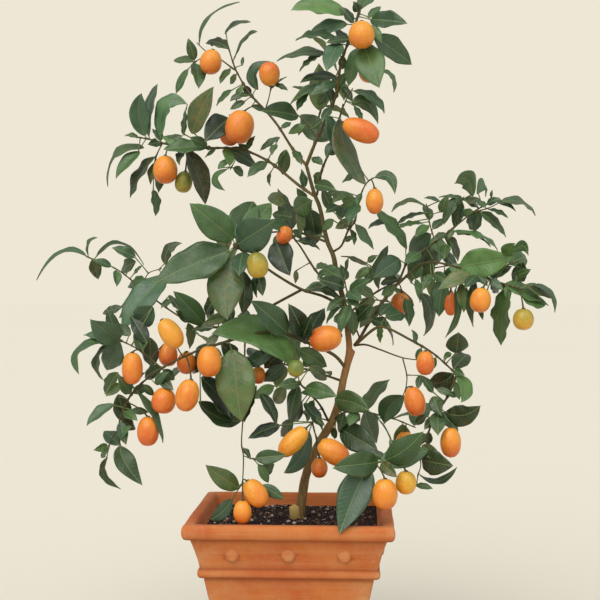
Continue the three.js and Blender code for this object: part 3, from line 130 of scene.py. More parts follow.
# Each spray: its twigs as above, then its leaves as [x, z of the base, x, z of the tip, width
# as it shows, reach, x, z of the midrib's middle]. Reach is how much nearer the tip is than
# the base; left out or 0, it follows from the width.
SPRAYS = [
    ["crown_top_spray", [
      [3.4, 2, [50, 665, -26], [55, 700, -32], [68, 735, -34], [78, 765, -30]],
      [1.6, 1, [57, 706, -32], [45, 708, -26], [30, 708, -20]],
      [1.6, 1, [62, 720, -34], [80, 720, -44], [92, 732, -50]],
    ], [
      [60, 754, -2, 762, 22, 0, 28, 765], [80, 757, 93, 778, 16], [88, 748, 130, 744, 20],
      [92, 730, 136, 697, 24], [85, 715, 97, 672, 32], [100, 690, 117, 665, 5, 0, 113, 682],
      [50, 727, 2, 727, 13, 0, 26, 731], [42, 709, -20, 703, 14, 0, 8, 710], [30, 708, 5, 692, 8],
      [62, 743, 18, 735, 16], [52, 722, 38, 690, 20], [78, 716, 62, 672, 16], [66, 742, 54, 764, 10],
      [60, 724, 47, 738, 9], [80, 752, 69, 769, 9], [86, 750, 100, 763, 9], [89, 742, 101, 722, 9],
      [88, 718, 98, 698, 9], [60, 728, 38, 722, 10], [58, 708, 56, 690, 9],
    ]],
    ["crown_middle_spray", [
      [4, 3.4, [15, 582, 0], [27, 612, -8], [40, 640, -18], [50, 665, -26]],
      [1.6, 1, [27, 612, -8], [16, 628, 0], [5, 640, 8]],
      [1.6, 1, [44, 650, -20], [38, 668, -14], [30, 678, -8]],
    ], [
      [52, 680, 8, 676, 12, 0, 30, 684], [30, 678, -6, 653, 11], [5, 636, -36, 645, 20],
      [40, 610, 5, 640, 25], [50, 676, 18, 664, 13], [44, 668, 28, 650, 10], [56, 672, 68, 655, 9],
      [54, 662, 62, 690, 10], [46, 654, 38, 676, 9], [16, 628, -6, 618, 9], [20, 622, 34, 634, 8],
      [18, 668, 2, 645, 10], [40, 650, 33, 632, 9],
    ]],
    ["second_upright_shoot", [
      [3, 1.6, [27, 548, 2], [33, 577, -12], [41, 597, -24], [52, 632, -38], [57, 652, -42]],
      [1.4, 1, [54, 640, -40], [62, 660, -46], [68, 670, -48]],
    ], [
      [68, 666, 106, 643, 12, 0, 90, 660], [67, 652, 99, 630, 16, 0, 85, 653], [70, 650, 79, 633, 6],
      [40, 640, 47, 600, 14], [50, 640, 86, 564, 19, 0, 62, 597], [44, 606, 66, 580, 12],
      [38, 592, 54, 604, 8], [34, 580, 20, 592, 9], [40, 612, 37, 590, 9], [28, 578, 24, 560, 10],
      [52, 552, 38, 548, 9],
    ]],
    ["upper_left_spray", [
      [3.6, 1.6, [15, 582, 0], [0, 600, 14], [-18, 628, 26], [-32, 645, 34], [-48, 662, 42],
        [-65, 690, 50], [-75, 720, 54]],
      [2, 1, [-65, 690, 50], [-95, 708, 56], [-115, 698, 58]],
      [1.4, 1, [-95, 708, 56], [-104, 716, 62], [-110, 722, 64]],
      [1.6, 1, [-32, 645, 34], [-28, 658, 28], [-25, 672, 24]],
    ], [
      [-108, 722, -61, 768, 8, 0, -95, 751], [-78, 732, -48, 748, 7, 0, -65, 744],
      [-70, 700, -41, 735, 7, 0, -56, 726], [-77, 713, -100, 721, 13, 0, -87, 723],
      [-112, 700, -120, 727, 12], [-118, 702, -137, 702, 10], [-115, 695, -107, 672, 14],
      [-120, 692, -134, 664, 10], [-40, 668, -23, 702, 13, 0, -45, 690], [-25, 675, -8, 684, 4],
      [-22, 675, -6, 668, 6], [-70, 668, -88, 650, 8], [-70, 690, -84, 676, 9], [-60, 675, -48, 660, 9],
      [-55, 655, -72, 646, 8], [-63, 686, -73, 674, 8], [-60, 674, -67, 655, 8], [-58, 696, -57, 706, 4],
      [-50, 660, -72, 656, 8, 0, -62, 662], [-48, 650, -28, 642, 7], [0, 600, 10, 584, 9],
      [-14, 622, -2, 632, 7],
    ]],
    ["upper_left_bough", [
      [3.6, 2.4, [24, 547, 4], [8, 558, 12], [-29, 587, 26], [-60, 600, 38], [-100, 602, 50]],
      [1.8, 1.2, [-60, 600, 38], [-67, 622, 46], [-73, 640, 50]],
      [1.4, 1, [-60, 600, 38], [-66, 588, 32], [-72, 577, 28]],
    ], [
      [-75, 640, -101, 610, 30], [-122, 600, -97, 537, 20], [-100, 602, -148, 600, 16],
      [-75, 600, -40, 580, 18], [-73, 580, -78, 553, 8, 0, -88, 567], [-70, 575, -56, 570, 9],
      [-30, 584, -52, 570, 13], [-15, 614, -38, 599, 8], [-20, 606, -25, 595, 8], [-8, 600, -12, 570, 14],
      [-116, 618, -92, 672, 26], [-26, 574, -28, 558, 5], [-98, 603, -118, 614, 11],
      [-86, 600, -101, 591, 6], [-52, 598, -44, 616, 7], [-125, 616, -121, 652, 9], [16, 556, 10, 578, 9],
      [-50, 596, -62, 606, 7], [-78, 596, -72, 582, 12], [-86, 578, -70, 592, 8],
    ]],
    ["upper_left_outer_spray", [
      [2.4, 1.4, [-100, 602, 50], [-140, 605, 60], [-165, 612, 66], [-178, 614, 68]],
      [1.6, 1, [-150, 606, 62], [-157, 590, 64], [-160, 553, 60]],
    ], [
      [-166, 615, -173, 664, 21, 0, -176, 641], [-163, 612, -156, 676, 14, 0, -166, 648],
      [-148, 612, -121, 652, 19, 0, -146, 650], [-170, 602, -217, 558, 12, 0, -203, 594],
      [-175, 598, -205, 569, 16], [-160, 596, -190, 546, 14], [-180, 615, -192, 617, 6],
      [-158, 590, -152, 550, 12], [-165, 553, -157, 524, 9], [-122, 604, -152, 618, 13],
      [-148, 606, -126, 616, 10], [-160, 586, -164, 560, 8], [-150, 612, -165, 606, 10],
      [-150, 612, -160, 625, 9], [-122, 598, -132, 584, 12],
    ]],
    ["centre_left_shoot", [
      [3, 1.6, [58, 425, 0], [27, 460, 16], [9, 488, 26], [-2, 505, 32], [0, 530, 36], [-12, 546, 38]],
      [1.4, 1, [0, 530, 36], [12, 536, 42], [22, 532, 44]],
    ], [
      [-20, 495, -4, 456, 28], [-12, 535, -28, 552, 16], [0, 530, 22, 542, 26], [22, 532, 26, 488, 22],
      [3, 462, 3, 447, 6], [4, 522, -24, 526, 14], [-8, 506, -32, 518, 14], [2, 508, 12, 498, 8],
      [14, 536, 4, 556, 10], [27, 462, 40, 470, 8], [10, 528, 8, 502, 10], [6, 498, 32, 488, 9],
      [38, 462, 28, 454, 8],
    ]],
    ["big_leaf_whorl", [
      [3.6, 2.6, [57, 420, 0], [35, 432, -20], [10, 440, -40], [-18, 456, -60], [-45, 475, -78],
        [-68, 492, -88]],
    ], [
      [-68, 497, -117, 538, 32], [-66, 498, -45, 543, 30], [-62, 494, -22, 518, 35],
      [-72, 484, -160, 446, 36, 24, -113, 469], [-70, 478, -76, 406, 38, 20, -78, 440],
      [-58, 462, -56, 410, 12], [-42, 462, -34, 433, 12], [-60, 496, -24, 540, 26],
      [-40, 464, -43, 431, 8], [-64, 500, -84, 528, 16], [-56, 488, -62, 456, 18],
      [16, 440, 52, 430, 9, 0, 36, 441],
    ]],
    ["far_left_spray", [
      [3.2, 1.2, [10, 440, -40], [-27, 420, -22], [-60, 400, 4], [-110, 400, 36], [-160, 430, 62],
        [-190, 455, 76], [-205, 465, 82], [-237, 478, 92]],
      [1.4, 1, [-172, 440, 68], [-166, 458, 74], [-150, 464, 80]],
    ], [
      [-146, 456, -202, 396, 34, 40], [-237, 478, -298, 453, 5, 0, -266, 482],
      [-237, 479, -225, 501, 4, 0, -234, 492], [-229, 477, -223, 450, 13, 0, -226, 464],
      [-203, 468, -229, 474, 9], [-227, 480, -166, 472, 5, 0, -198, 493], [-180, 477, -207, 489, 12],
      [-180, 472, -198, 460, 16], [-206, 460, -201, 444, 8], [-175, 455, -190, 443, 12],
      [-146, 468, -127, 493, 13, 0, -143, 486], [-170, 425, -200, 408, 12], [-182, 458, -172, 468, 5],
      [-196, 420, -218, 412, 10], [-98, 404, -137, 438, 22], [-86, 436, -101, 410, 13],
      [-78, 408, -101, 402, 12], [-88, 397, -116, 394, 10], [-140, 428, -151, 420, 8],
      [-52, 404, -61, 416, 12], [-118, 404, -134, 416, 10], [-72, 400, -88, 416, 12],
      [-142, 434, -129, 415, 7], [-122, 398, -118, 372, 9], [-80, 430, -68, 402, 12],
      [-90, 420, -100, 406, 9],
    ]],
    ["lower_left_bough", [
      [4, 2.6, [60, 350, -5], [48, 364, -14], [15, 380, -32], [-20, 392, -50], [-60, 385, -62],
        [-110, 370, -66]],
    ], [
      [-5, 395, -47, 428, 26], [5, 372, 40, 350, 18], [-70, 372, -60, 288, 42, 16],
      [-105, 340, -62, 288, 20, -30], [-10, 372, -33, 350, 18, -20], [-90, 375, -118, 344, 20, -40],
      [-108, 312, -58, 290, 15, -30, -86, 294], [-24, 368, -58, 352, 16, -12],
      [-10, 354, -35, 333, 16, -14], [-40, 384, -30, 362, 12, -16], [-100, 368, -84, 392, 10, -8],
      [-82, 378, -62, 356, 16], [16, 386, -3, 422, 20], [16, 384, 35, 421, 20], [12, 384, 20, 408, 16],
      [12, 362, 18, 350, 8],
    ]],
    ["lower_left_spray", [
      [2.6, 1.4, [-110, 370, -66], [-150, 350, -62], [-185, 320, -56], [-200, 280, -52], [-195, 250, -50]],
      [2, 1.2, [-150, 350, -62], [-178, 372, -54], [-200, 383, -50]],
      [1.6, 1, [-200, 280, -52], [-208, 268, -48], [-212, 255, -46]],
    ], [
      [-200, 387, -232, 405, 26], [-203, 385, -240, 392, 14], [-205, 380, -246, 343, 9, 0, -243, 372],
      [-198, 378, -213, 347, 24], [-212, 377, -219, 336, 10, 0, -224, 358], [-200, 345, -215, 320, 14],
      [-205, 309, -237, 285, 11], [-200, 320, -190, 283, 18], [-203, 292, -192, 262, 12],
      [-195, 262, -217, 280, 14], [-210, 262, -228, 256, 9], [-213, 258, -220, 247, 7],
      [-203, 262, -172, 218, 20, 0, -191, 241], [-212, 248, -197, 212, 5, 0, -217, 229],
      [-178, 322, -144, 267, 6], [-185, 302, -165, 300, 8], [-163, 385, -163, 350, 20, -24],
      [-160, 420, -180, 398, 24, -20], [-186, 322, -200, 341, 13], [-180, 316, -164, 331, 10],
      [-186, 332, -171, 346, 9], [-186, 388, -206, 402, 12], [-158, 332, -144, 346, 10],
      [-168, 372, -182, 392, 10], [-192, 300, -178, 290, 9], [-150, 350, -134, 336, 10],
      [-198, 272, -186, 284, 8], [-166, 378, -186, 412, 16], [-202, 388, -212, 418, 12],
      [-150, 352, -172, 338, 12], [-152, 338, -138, 326, 10], [-174, 334, -158, 318, 9],
      [-198, 332, -214, 318, 10], [-196, 292, -180, 280, 11],
    ]],
    ["low_front_shoot", [
      [3, 1.6, [40, 290, -3], [29, 310, -24], [5, 335, -44]],
      [1.8, 1.2, [40, 290, -3], [29, 292, -30], [20, 287, -42]],
    ], [
      [8, 346, -92, 392, 26, 30, -36, 389], [18, 352, 40, 336, 13], [15, 333, 50, 318, 17],
      [3, 333, -6, 285, 18], [12, 310, 35, 280, 12], [-8, 328, -22, 308, 14], [-15, 285, -52, 271, 14],
      [18, 278, -12, 231, 18, 0, 8, 248], [-22, 330, -47, 315, 13], [22, 312, 14, 288, 11],
      [28, 322, 8, 322, 8], [26, 300, 10, 300, 9], [6, 338, -16, 330, 12], [10, 312, 0, 288, 14],
      [20, 296, 36, 284, 8], [0, 290, -16, 272, 14],
    ]],
    ["low_right_shoot", [
      [2.4, 1.2, [45, 290, -3], [60, 300, -20], [85, 303, -34]],
    ], [
      [47, 314, 85, 302, 24, 0, 66, 311], [86, 303, 99, 262, 22, 0, 87, 283], [54, 281, 97, 255, 28],
      [60, 300, 50, 276, 10], [72, 302, 64, 284, 11], [48, 282, 46, 268, 8],
    ]],
    ["hanging_shoot", [
      [2, 1.2, [-55, 386, -62], [-57, 300, -70], [-59, 262, -72], [-57, 250, -72], [-58, 215, -76]],
      [1.2, 1, [-57, 250, -72], [-50, 247, -75], [-43, 246, -78]],
    ], [
      [-45, 246, -8, 250, 15], [-40, 240, -28, 218, 9], [-62, 212, -100, 237, 20],
      [-70, 200, -97, 177, 15, -20, -82, 185], [-36, 216, -10, 200, 12], [-22, 240, -37, 228, 12],
      [-54, 262, -48, 246, 5], [-42, 330, -56, 288, 9], [-38, 322, -16, 286, 10],
    ]],
    ["leader_right_shoot", [
      [2.6, 1.2, [47, 484, 0], [55, 490, -10], [64, 510, -18], [70, 517, -20], [75, 542, -28],
        [84, 562, -32], [92, 568, -34]],
      [1.4, 1, [55, 478, -6], [72, 476, -20], [92, 465, -30]],
    ], [
      [25, 560, 48, 555, 14], [55, 550, 75, 528, 14], [68, 540, 62, 515, 14], [73, 512, 92, 486, 11],
      [75, 555, 72, 532, 7], [80, 575, 55, 563, 8], [93, 566, 116, 549, 12, 0, 109, 568],
      [92, 465, 84, 446, 12], [44, 530, 33, 556, 12], [46, 520, 33, 508, 10], [52, 536, 37, 528, 10],
      [53, 520, 63, 541, 13], [60, 552, 45, 540, 12], [70, 518, 48, 510, 10], [67, 508, 71, 491, 6],
      [62, 476, 61, 459, 4], [58, 494, 70, 500, 7], [90, 466, 70, 452, 10], [84, 470, 96, 480, 7],
      [60, 475, 88, 467, 6],
    ]],
    ["right_bough", [
      [4, 2.6, [70, 376, 0], [76, 384, 5], [95, 417, 20], [118, 445, 34], [130, 472, 46]],
      [2, 1.2, [76, 384, 5], [70, 402, -14], [64, 428, -26], [58, 452, -32]],
      [1.8, 1.2, [95, 417, 20], [98, 412, 6], [106, 406, -6]],
    ], [
      [122, 475, 93, 455, 24], [130, 486, 95, 535, 12], [128, 430, 133, 398, 12], [58, 450, 33, 466, 16],
      [60, 440, 28, 452, 15], [58, 452, 56, 470, 10], [66, 436, 88, 452, 13], [40, 446, 11, 440, 9],
      [62, 424, 52, 388, 14], [68, 418, 70, 386, 13], [56, 430, 38, 416, 10], [54, 420, 36, 402, 6],
      [70, 404, 90, 424, 13], [82, 404, 98, 424, 12], [90, 404, 112, 396, 12], [104, 406, 129, 414, 17],
      [100, 400, 99, 379, 6], [106, 400, 117, 377, 4], [92, 432, 66, 446, 12], [100, 432, 118, 450, 11],
      [62, 440, 78, 426, 14], [60, 410, 44, 404, 10], [88, 410, 76, 396, 10], [114, 444, 100, 434, 9],
      [62, 430, 74, 420, 12], [116, 452, 98, 448, 12], [112, 424, 98, 410, 12],
    ]],
    ["right_upper_spray", [
      [2.6, 1.6, [130, 472, 46], [170, 500, 62], [205, 528, 76], [225, 540, 82]],
      [1.6, 1, [162, 495, 58], [156, 515, 66], [152, 538, 72]],
      [1.6, 1, [188, 514, 70], [190, 535, 74], [195, 546, 76]],
      [1.4, 1, [205, 528, 76], [225, 534, 70], [238, 541, 66]],
    ], [
      [150, 539, 112, 529, 6, 0, 131, 540], [150, 527, 115, 516, 5], [148, 516, 118, 510, 6],
      [160, 505, 130, 482, 20], [168, 541, 150, 546, 5], [195, 548, 166, 548, 6],
      [185, 546, 172, 514, 12], [196, 545, 184, 510, 14], [205, 546, 185, 561, 22, 0, 199, 566],
      [210, 549, 223, 547, 14, 0, 218, 561], [218, 540, 255, 531, 6, 0, 236, 540],
      [238, 541, 279, 526, 10, 0, 260, 540], [222, 532, 246, 523, 5], [212, 526, 246, 502, 14],
      [226, 545, 227, 554, 3], [212, 525, 202, 508, 16], [187, 503, 228, 492, 6, 0, 208, 502],
      [172, 498, 190, 488, 10], [175, 492, 172, 475, 12], [150, 490, 165, 468, 16, -16],
      [160, 486, 140, 462, 14, -24], [176, 500, 190, 472, 12, -20], [114, 512, 85, 512, 6, 0, 99, 516],
      [158, 518, 150, 540, 12], [168, 528, 177, 548, 10], [156, 506, 172, 521, 10],
      [154, 512, 139, 500, 9], [200, 538, 214, 546, 10], [196, 536, 186, 548, 10],
      [206, 534, 190, 526, 9], [150, 480, 127, 470, 13], [160, 476, 150, 446, 14],
      [168, 486, 188, 464, 12], [146, 480, 132, 446, 12], [184, 512, 174, 496, 8],
      [220, 532, 208, 544, 9], [176, 506, 160, 496, 9], [196, 540, 214, 534, 12], [220, 538, 236, 545, 8],
      [214, 526, 206, 506, 12], [182, 504, 236, 486, 8, 0, 214, 502],
    ]],
    ["right_cluster", [
      [3, 1.4, [118, 445, 34], [150, 470, 10], [190, 465, -18], [230, 450, -38], [262, 440, -44]],
      [1.6, 1, [230, 450, -38], [245, 468, -44], [258, 472, -46]],
    ], [
      [188, 463, 250, 476, 34], [245, 470, 268, 479, 18], [240, 480, 253, 493, 14],
      [262, 472, 255, 445, 16], [255, 455, 271, 463, 10], [240, 445, 292, 422, 18],
      [272, 446, 300, 414, 5, 0, 294, 438], [244, 440, 238, 376, 14], [207, 450, 203, 397, 12],
      [222, 440, 214, 405, 8], [205, 460, 165, 442, 16], [172, 456, 166, 408, 18],
      [192, 447, 196, 414, 14], [146, 436, 152, 385, 17, 0, 158, 412],
      [184, 440, 172, 388, 6, 0, 187, 412], [266, 446, 299, 429, 11], [176, 468, 202, 455, 13],
      [188, 464, 169, 447, 13], [160, 458, 178, 449, 12], [236, 448, 247, 431, 8],
      [222, 452, 240, 440, 10], [150, 466, 138, 452, 10], [208, 458, 222, 444, 10],
      [246, 462, 236, 474, 9], [158, 458, 146, 440, 10], [140, 452, 146, 425, 9],
      [250, 482, 267, 480, 12, 0, 262, 490], [224, 454, 250, 468, 12], [210, 454, 196, 442, 11],
      [222, 450, 234, 436, 12], [240, 444, 247, 426, 8], [252, 436, 290, 424, 13, 0, 275, 428],
    ]],
    ["right_middle_shoot", [
      [3.6, 1.8, [70, 376, 0], [97, 397, -20], [107, 396, -24], [133, 383, -34], [160, 367, -42],
        [187, 343, -48]],
      [2.6, 1.2, [70, 376, 0], [82, 377, -8], [100, 371, -20], [125, 362, -28], [146, 359, -34]],
      [1.6, 1.2, [125, 362, -28], [130, 340, -32], [128, 322, -36]],
    ], [
      [186, 367, 189, 391, 24], [185, 352, 202, 370, 18], [180, 368, 172, 361, 6],
      [187, 340, 152, 332, 24, 0, 170, 334], [187, 342, 192, 311, 17, 0, 196, 328],
      [127, 318, 104, 286, 24, 0, 110, 306], [144, 384, 136, 394, 7], [164, 362, 158, 348, 7],
      [184, 350, 196, 342, 8], [148, 374, 142, 356, 8], [146, 342, 142, 326, 8],
    ]],
    ["right_lower_spray", [
      [2.4, 1.6, [187, 343, -48], [178, 320, -50], [165, 300, -54], [156, 280, -60], [152, 270, -64]],
    ], [
      [174, 300, 214, 307, 23, 0, 194, 296], [160, 318, 168, 296, 16, 20], [160, 305, 165, 275, 18],
      [150, 283, 153, 262, 10], [168, 298, 190, 279, 12], [152, 296, 139, 285, 8],
      [160, 322, 146, 342, 9], [176, 316, 190, 322, 7], [164, 326, 184, 320, 8], [188, 340, 190, 314, 9],
      [158, 298, 150, 280, 10], [148, 278, 141, 262, 8],
    ]],
    ["rim_spray", [
      [2, 1.4, [152, 270, -64], [140, 258, -72], [120, 250, -82], [100, 243, -92], [84, 240, -100]],
      [1.4, 1, [140, 258, -72], [146, 240, -70], [142, 226, -72]],
    ], [
      [102, 240, 147, 277, 26, 0, 127, 256], [97, 242, 156, 256, 24], [142, 245, 182, 238, 26],
      [143, 226, 187, 237, 5, 0, 166, 222], [140, 216, 160, 213, 6], [106, 252, 80, 254, 8],
      [100, 243, 48, 237, 26], [83, 236, 53, 160, 34, 20, 70, 204], [146, 262, 170, 244, 14],
      [84, 230, 50, 206, 12, -14], [100, 242, 119, 225, 13], [120, 250, 110, 270, 9],
      [134, 256, 128, 236, 10],
    ]],
]

# Shoots at the back of the crown: count and length of the leaves that stand round them in a
# spiral, then the twig as above.
BACK_SHOOTS = [
    ["back_crown_shoot", 9, 46, 3, 1.4, [24, 606, -4], [30, 640, 40], [44, 675, 76], [58, 700, 96]],
    ["back_left_shoot", 9, 48, 3, 1.4, [40, 494, 2], [0, 506, 60], [-50, 503, 104], [-84, 500, 130]],
    ["back_right_shoot", 10, 44, 3, 1.4, [60, 410, 0], [100, 440, 70], [150, 462, 116],
     [196, 470, 140]],
    ["back_low_left_shoot", 10, 48, 3, 1.4, [57, 335, -4], [10, 350, 60], [-60, 362, 106],
     [-120, 358, 132]],
    ["back_low_right_shoot", 8, 46, 3, 1.4, [50, 302, -4], [80, 300, 50], [115, 292, 92],
     [140, 282, 112]],
]

# Fruits: centre [x, z, depth], width, length, lean in degrees of the stalk end from upright
# (positive to the right), ripeness from 0, green, to 1, red-orange.
FRUITS = [
    [78, 731, -62, 30, 32, 0, 0.78], [77, 622, -62, 26, 45, -67, 0.95],
    [-94, 700, 40, 25, 29, 10, 0.85], [-27, 686, 20, 24, 28, 175, 0.88],
    [-61, 626, 22, 33, 38, 15, 0.88], [-146, 577, 50, 28, 33, 0, 0.84],
    [-125, 563, 60, 20, 25, 10, 0.12], [-41, 468, -104, 25, 30, -10, 0.22],
    [93, 541, -46, 20, 30, 0, 0.8], [122, 424, 58, 22, 26, 10, 0.96],
    [214, 428, -56, 24, 29, 10, 0.8], [263, 406, -56, 24, 25, 0, 0.3],
    [37, 384, -48, 30, 38, 78, 0.9], [151, 356, -58, 21, 28, 0, 0.95],
    [139, 312, -56, 24, 35, -14, 0.95], [180, 265, -70, 24, 35, 0, 0.85],
    [105, 206, -112, 29, 36, 0, 0.82], [129, 219, -92, 24, 27, 0, 0.5],
    [0, 266, -64, 23, 43, 44, 0.68], [46, 254, -58, 27, 40, -56, 0.85],
    [-43, 207, -90, 25, 35, -35, 0.8], [-58, 185, -92, 21, 28, 0, 0.82],
    [-140, 390, -80, 25, 38, -34, 0.66], [-143, 366, -44, 22, 28, 0, 0.95],
    [-122, 356, -40, 22, 26, 0, 0.92], [-96, 358, -84, 28, 36, 0, 0.85],
    [-184, 350, -72, 24, 37, 0, 0.88], [-148, 313, -68, 28, 30, 10, 0.92],
    [-121, 319, -94, 27, 38, 14, 0.86], [-166, 278, -66, 25, 34, 0, 0.97],
    [3, 350, -74, 19, 20, 0, 0.05],
]

# Small and shaded fruits, each of one piece with the shoot that it grows on.
SHADED_FRUITS = [
    [-72, 618, 46, 24, 28, 10, 0.96], [-10, 502, 20, 18, 22, 20, 0.95],
    [180, 424, -4, 15, 28, 0, 1], [30, 236, -34, 19, 23, 0, 0.95],
    [-40, 342, -30, 17, 20, 0, 0.9], [86, 692, 88, 24, 32, 0, 0.86],
    [-76, 440, 118, 24, 32, 0, 0.9], [-60, 334, 112, 25, 33, 0, 0.9],
    [128, 262, 100, 24, 32, 0, 0.86],
]

# The leaves whose colour stands out, by spray and by place in its list; dark and black are painted shade.
TONES = {
    "bright": {"tint": 0.95, "cool": 0.0, "aged": 0.0},
    # Painted sky reflection: blue and teal mix a bluish sheen into the leaf colour.
    "blue": {"tint": 0.5, "cool": 1.0, "aged": 0.0},
    "teal": {"tint": 0.15, "cool": 0.6, "aged": 0.0},
    # Painted shade: the darkest tones, for leaves that lie in shade.
    "dark": {"tint": 0.1, "cool": 0.1, "aged": 0.1},
    "black": {"tint": 0.0, "cool": 0.0, "aged": 0.0},
    "olive": {"tint": 0.7, "cool": 0.0, "aged": 0.4},
    "aged": {"tint": 0.75, "cool": 0.0, "aged": 0.3},
}
LEAF_TONES = {
    "crown_top_spray": {0: "bright", 9: "blue", 10: "blue"},
    "second_upright_shoot": {3: "blue"},
    "upper_left_bough": {0: "black"},
    "upper_left_outer_spray": {0: "blue", 14: "black"},
    "centre_left_shoot": {0: "black", 1: "olive", 10: "olive", 11: "black"},
    "big_leaf_whorl": {2: "teal", 5: "dark", 10: "teal", 11: "dark"},
    "far_left_spray": {
        0: "blue", 10: "dark", 11: "dark", 13: "dark", 22: "dark", 23: "olive", 24: "dark",
    },
    "lower_left_bough": {
        2: "aged", 3: "black", 4: "dark", 5: "dark", 6: "dark", 7: "teal", 8: "teal", 11: "dark",
        12: "black", 13: "black", 14: "black",
    },
    "lower_left_spray": {
        0: "blue", 1: "blue", 3: "blue", 4: "dark", 16: "dark", 17: "teal", 27: "black", 29: "dark",
        30: "dark", 33: "dark",
    },
    "low_front_shoot": {0: "bright", 5: "olive", 6: "black", 7: "teal", 13: "dark", 15: "dark"},
    "hanging_shoot": {3: "teal", 7: "black", 8: "black"},
    "leader_right_shoot": {2: "blue"},
    "right_upper_spray": {3: "blue", 15: "blue", 19: "dark", 20: "dark", 21: "dark", 39: "teal"},
    "right_cluster": {0: "bright", 8: "dark", 10: "olive", 12: "olive", 13: "dark", 29: "teal"},
    "right_middle_shoot": {0: "dark", 1: "dark"},
    "right_lower_spray": {0: "dark", 10: "dark", 11: "teal"},
    "rim_spray": {2: "dark", 5: "dark", 7: "teal"},
    "crown_middle_spray": {12: "teal"},
    "right_bough": {25: "dark", 26: "teal"},
}


# ---- settings ----


def colour(name, note, default):
    """A colour property in linear light."""
    return bpy.props.FloatVectorProperty(
        name=name, description=note, default=default, size=3, min=0, max=1, subtype="COLOR"
    )


def length(name, note, default):
    """A size property in metres, given in millimetres."""
    return bpy.props.FloatProperty(
        name=name, description=note, default=default * MM, min=0, unit="LENGTH", precision=4
    )


class PlanterSettings(bpy.types.PropertyGroup):
    """Sizes and colours of the terracotta planter and its soil."""

    rim_tall: length("Rim Height", "Height of the rolled rim", 16)
    rim_proud: length("Rim Relief", "How far the rolled rim stands out from its core", 4)
    flare_side: length("Flare Side", "Side of the square just under the rim", 212)
    neck_side: length("Neck Side", "Side of the square just above the band", 192)
    band_z: length("Band Height", "Middle height of the raised band", 136)
    band_tall: length("Band Width", "How tall the raised band is", 10)
    band_proud: length("Band Relief", "How far the raised band stands out", 2.5)
    body_side: length("Body Side", "Side of the square just below the band", 185)
    foot_side: length("Foot Side", "Side of the square foot", 130)
    wall: length("Wall", "Thickness of the wall at the rim", 13)
    floor_thick: length("Floor", "Thickness of the floor", 12)
    corner: length("Corner", "Radius of the upright corners", 4)
    boss_radius: length("Boss Radius", "Radius of each round boss", 6.5)
    boss_proud: length("Boss Relief", "How far each boss stands out", 3)
    boss_z: length("Boss Height", "Height of the row of bosses", 157)
    boss_step: length("Boss Spacing", "Distance between the bosses of a side", 60)
    drain_radius: length("Drain Radius", "Radius of each drain hole", 5)
    drain_offset: length("Drain Offset", "Distance of each drain hole from the middle", 45)
    soil_z: length("Soil Level", "Height of the soil at the walls", 177)
    soil_mound: length("Soil Mound", "How much higher the soil is round the trunk", 3)
    clay: colour("Clay", "Fired clay", (0.52, 0.155, 0.034))
    clay_red: colour("Red Clay", "Redder patches of the clay", (0.455, 0.098, 0.019))
    clay_pale: colour("Bloom", "Pale bloom of salts on the clay", (0.55, 0.27, 0.12))
    soil: colour("Soil", "Damp potting soil", (0.028, 0.016, 0.012))
    grit: colour("Grit", "Pale grit in the soil", (0.60, 0.52, 0.46))


class PlantSettings(bpy.types.PropertyGroup):
    """Sizes and colours of the wood, the leaves and the fruits."""

    leaf_thick: length("Leaf Thickness", "Thickness of a leaf at its midrib", 0.45)
    stem_radius: length("Stem Radius", "Radius of a leaf's stem", 0.75)
    # Painted shade: the colour of leaves in shade, also laid in patches over every leaf.
    leaf_dark: colour("Shaded Leaf", "Upper face of the darkest leaves", (0.010, 0.026, 0.008))
    leaf_mid: colour("Leaf", "Upper face of most leaves", (0.042, 0.098, 0.022))
    leaf_bright: colour("Young Leaf", "Upper face of the brightest leaves", (0.10, 0.21, 0.05))
    # Painted sky reflection: the bluish sheen mixed into the upper face of leaves.
    leaf_sky_sheen: colour("Sky Sheen", "Cool tone of leaves that face the sky", (0.06, 0.135, 0.075))
    leaf_under: colour("Underside", "Under face of the leaves", (0.13, 0.19, 0.06))
    leaf_old: colour("Aged Leaf", "Brown tinge of old leaves", (0.22, 0.13, 0.045))
    rib: colour("Midrib", "Midrib and veins", (0.16, 0.22, 0.075))
    bark: colour("Bark", "Bark of the trunk", (0.34, 0.20, 0.06))
    bark_red: colour("Red Bark", "Ruddy bark near the forks", (0.33, 0.145, 0.045))
    bark_green: colour("Young Bark", "Green bark of young twigs", (0.075, 0.068, 0.02))
    graft: colour("Cut Wood", "Pale cut face of the graft stub", (0.52, 0.36, 0.11))
    fruit_green: colour("Green Fruit", "Rind of unripe fruit", (0.14, 0.20, 0.03))
    fruit_olive: colour("Turning Fruit", "Rind of turning fruit", (0.42, 0.31, 0.03))
    fruit_gold: colour("Golden Fruit", "Rind of nearly ripe fruit", (0.80, 0.40, 0.03))
    fruit_orange: colour("Ripe Fruit", "Rind of ripe fruit", (0.80, 0.30, 0.024))
    fruit_red: colour("Red Fruit", "Rind of the ripest fruit", (0.68, 0.135, 0.015))


class StageSettings(bpy.types.PropertyGroup):
    """The floor, the light and the camera."""

    wall: colour("Wall", "Plain wall behind the floor", (0.855, 0.799, 0.665))
    backdrop: colour("Floor", "Pale floor", (0.745, 0.703, 0.597))
    ambient: bpy.props.FloatProperty(
        name="Ambient", description="Strength of the even light", default=0.5, min=0
    )
    key: bpy.props.FloatProperty(
        name="Key Light", description="Strength of the soft main light", default=2.4, min=0
    )
    lens: bpy.props.FloatProperty(
        name="Lens", description="Focal length of the camera", default=73.44, min=1, unit="CAMERA"
    )


# ---- curves and forms ----


def place(x, z, depth):
    """The point of the tree at x, z of the elevation and that depth."""
    on_plane = Vector((x, x * PLANE_TURN, z)) * MM
    return EYE + (on_plane - EYE) * (1 + depth / EYE_DISTANCE)


